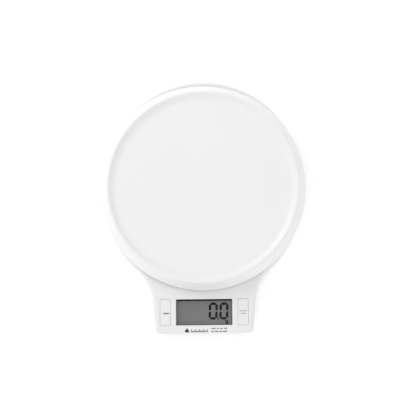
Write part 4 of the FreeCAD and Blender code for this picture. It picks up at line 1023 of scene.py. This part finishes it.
class SCALE_OT_screws(Operator):
    """Make the screws at their places in the frame"""

    bl_idname = "scale.screws"
    bl_label = "Screws"

    def execute(self, context):
        steel = metal("zinc plated steel", (0.62, 0.62, 0.61), 0.3)
        tree = screw_tree(steel)
        rows = (("housing_screws", 2.4, 1.5), ("load_cell_screws", 2.6, 2.0), ("carrier_screws", 2.6, 2.0),
                ("board_screws", 1.8, 1.5), ("pan_screws", 1.1, 1.5))
        for node, head_height, thread_radius in rows:
            screws(node, head_height * MM, thread_radius * MM, tree, steel)
        return {"FINISHED"}


# --- Inside ---
class SCALE_OT_inside(Operator):
    """Finish the pieces inside the housing"""

    bl_idname = "scale.inside"
    bl_label = "Inside"

    def execute(self, context):
        wire_grain, wire_relief = 900.0, 0.01 * MM
        milled = metal("milled aluminium", (0.72, 0.73, 0.74), 0.34, (0.05, 1.0, 1.0), 1400.0)
        steel = metal("stop pin steel", (0.55, 0.55, 0.56), 0.3)
        nickel = metal("nickel plated contact", (0.70, 0.69, 0.66), 0.22)
        black = moulded_plastic("black moulded plastic", (0.02, 0.02, 0.021), 0.5, 2400.0, 0.02 * MM)
        nylon = moulded_plastic("natural nylon", (0.70, 0.68, 0.58), 0.45, 1600.0, 0.02 * MM)
        rows = [
            (milled, ("load_cell", "load_cell_spacer")),
            (steel, ("overload_stops", "crystal_can")),
            (nickel, ("bridge_contact", "positive_contact", "negative_contact", "bridge_spring",
                      "negative_spring")),
            (black, ("display_frame", "mode_switch", "tare_switch", "converter_chip",
                     "processor_resin_cap")),
            (nylon, ("load_cell_connector", "battery_connector", "mode_switch_plunger",
                     "tare_switch_plunger")),
            (rubber("white silicone sealant", (0.72, 0.72, 0.69)), ("gauge_sealant", "gauge_wire_anchor")),
            (rubber("contact elastomer", (0.35, 0.16, 0.16)), ("rear_contact_strip", "front_contact_strip")),
            (metal("gauge foil", (0.65, 0.45, 0.20), 0.3), ("strain_gauges",)),
            (battery_sleeve("dry cell sleeve"), ("rear_battery", "front_battery")),
            (circuit_board("green circuit board"), ("main_circuit_board",)),
        ]
        coats = (
            ("supply_capacitor", "blue capacitor sleeve", (0.02, 0.03, 0.09), 0.3),
            ("positive_lead", "red insulation", (0.45, 0.02, 0.015), 0.35),
            ("negative_lead", "black insulation", (0.015, 0.015, 0.015), 0.35),
            ("load_cell_cable", "grey cable jacket", (0.5, 0.5, 0.5), 0.4),
        )
        for node, name, tint, roughness in coats:
            rows.append((moulded_plastic(name, tint, roughness, wire_grain, wire_relief), (node,)))
        for material, names in rows:
            for node in names:
                smooth_copy(node, material)
        return {"FINISHED"}


# --- Stage ---
def area_light(name, place, size, power):
    """A round soft light aimed at the origin."""
    data = bpy.data.lights.new(name, "AREA")
    data.shape = "DISK"
    data.size = size
    data.energy = power
    lamp = put(name, data)
    lamp.location = place
    lamp.rotation_euler = (-Vector(place)).to_track_quat("-Z", "Y").to_euler()


class SCALE_OT_stage(Operator):
    """Set up the floor, the lights and the camera"""

    bl_idname = "scale.stage"
    bl_label = "Stage"

    def execute(self, context):
        settings = context.scene.scale_stage
        self.floor()
        self.lights(context, settings)
        self.camera(context, settings)
        return {"FINISHED"}

    def floor(self):
        """A wide pale floor that glows a little, so that shadows on it stay soft."""
        half = 30.0
        bm = bmesh.new()
        corners = ((-half, -half), (half, -half), (half, half), (-half, half))
        bm.faces.new([bm.verts.new((x, y, CAD_BOX[0][2])) for x, y in corners])
        material, coordinates = new_material("pale floor")
        shaded(material, {
            "Base Color": (0.93, 0.93, 0.93, 1.0),
            "Emission Color": (1.0, 1.0, 1.0, 1.0),
            "Emission Strength": 0.18,
            "Roughness": 0.9,
            "Specular IOR Level": 0.1,
            "Normal": bump(noise(coordinates, 900.0), 0.01 * MM),
        })
        mesh = to_mesh("floor", bm)
        mesh.materials.append(material)
        put("floor", mesh)

    def lights(self, context, settings):
        world = bpy.data.worlds.new("even white sky")
        world.use_nodes = True
        feed(world.node_tree.nodes["Background"], {"Color": (1.0, 1.0, 1.0, 1.0), "Strength": settings.sky})
        context.scene.world = world
        area_light("key", (-0.95, 0.9, 0.72), 0.9, settings.key_power)
        area_light("fill", (1.1, 0.55, 1.0), 1.2, settings.fill_power)
        area_light("front", (-0.15, -1.3, 0.85), 1.2, settings.front_power)

    def camera(self, context, settings):
        right_of_middle, ahead_of_middle = 3.9 * MM, 16.6 * MM
        data = bpy.data.cameras.new("camera")
        data.lens = data.sensor_width * settings.distance / settings.view_width
        data.clip_start = 0.01
        camera = put("camera", data)
        target = Vector((right_of_middle, middle("weighing_pan").y - ahead_of_middle,
                         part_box("weighing_pan")[0][2]))
        away = Vector((0.0, -math.cos(settings.elevation), math.sin(settings.elevation)))
        away.rotate(Matrix.Rotation(settings.turn, 3, "Z"))
        camera.location = target + away * settings.distance
        camera.rotation_euler = (-away).to_track_quat("-Z", "Y").to_euler()
        context.scene.camera = camera
        context.scene.view_settings.view_transform = "Standard"


# --- Panel and registration ---
PIECES = (SCALE_OT_pan, SCALE_OT_housing, SCALE_OT_display, SCALE_OT_keys, SCALE_OT_screws, SCALE_OT_inside,
          SCALE_OT_stage)
SETTINGS = {
    "scale_pan": ScalePanSettings,
    "scale_housing": ScaleHousingSettings,
    "scale_display": ScaleDisplaySettings,
    "scale_keys": ScaleKeySettings,
    "scale_stage": ScaleStageSettings,
}


class SCALE_PT_panel(Panel):
    bl_idname = "SCALE_PT_panel"
    bl_label = "Round Pan Scale"
    bl_space_type = "VIEW_3D"
    bl_region_type = "UI"
    bl_category = "Scale"

    def draw(self, context):
        for operator in PIECES:
            self.layout.operator(operator.bl_idname)
        for attribute, group in SETTINGS.items():
            box = self.layout.box()
            for name in group.__annotations__:
                box.prop(getattr(context.scene, attribute), name)


CLASSES = (*SETTINGS.values(), *PIECES, SCALE_PT_panel)


def register():
    for cls in CLASSES:
        bpy.utils.register_class(cls)
    for attribute, group in SETTINGS.items():
        setattr(bpy.types.Scene, attribute, PointerProperty(type=group))


def unregister():
    for attribute in SETTINGS:
        delattr(bpy.types.Scene, attribute)
    for cls in reversed(CLASSES):
        bpy.utils.unregister_class(cls)


def main():
    register()
    bpy.ops.scale.pan()
    bpy.ops.scale.housing()
    bpy.ops.scale.display()
    bpy.ops.scale.keys()
    bpy.ops.scale.screws()
    bpy.ops.scale.inside()
    bpy.ops.scale.stage()


if __name__ == "__main__":
    main()
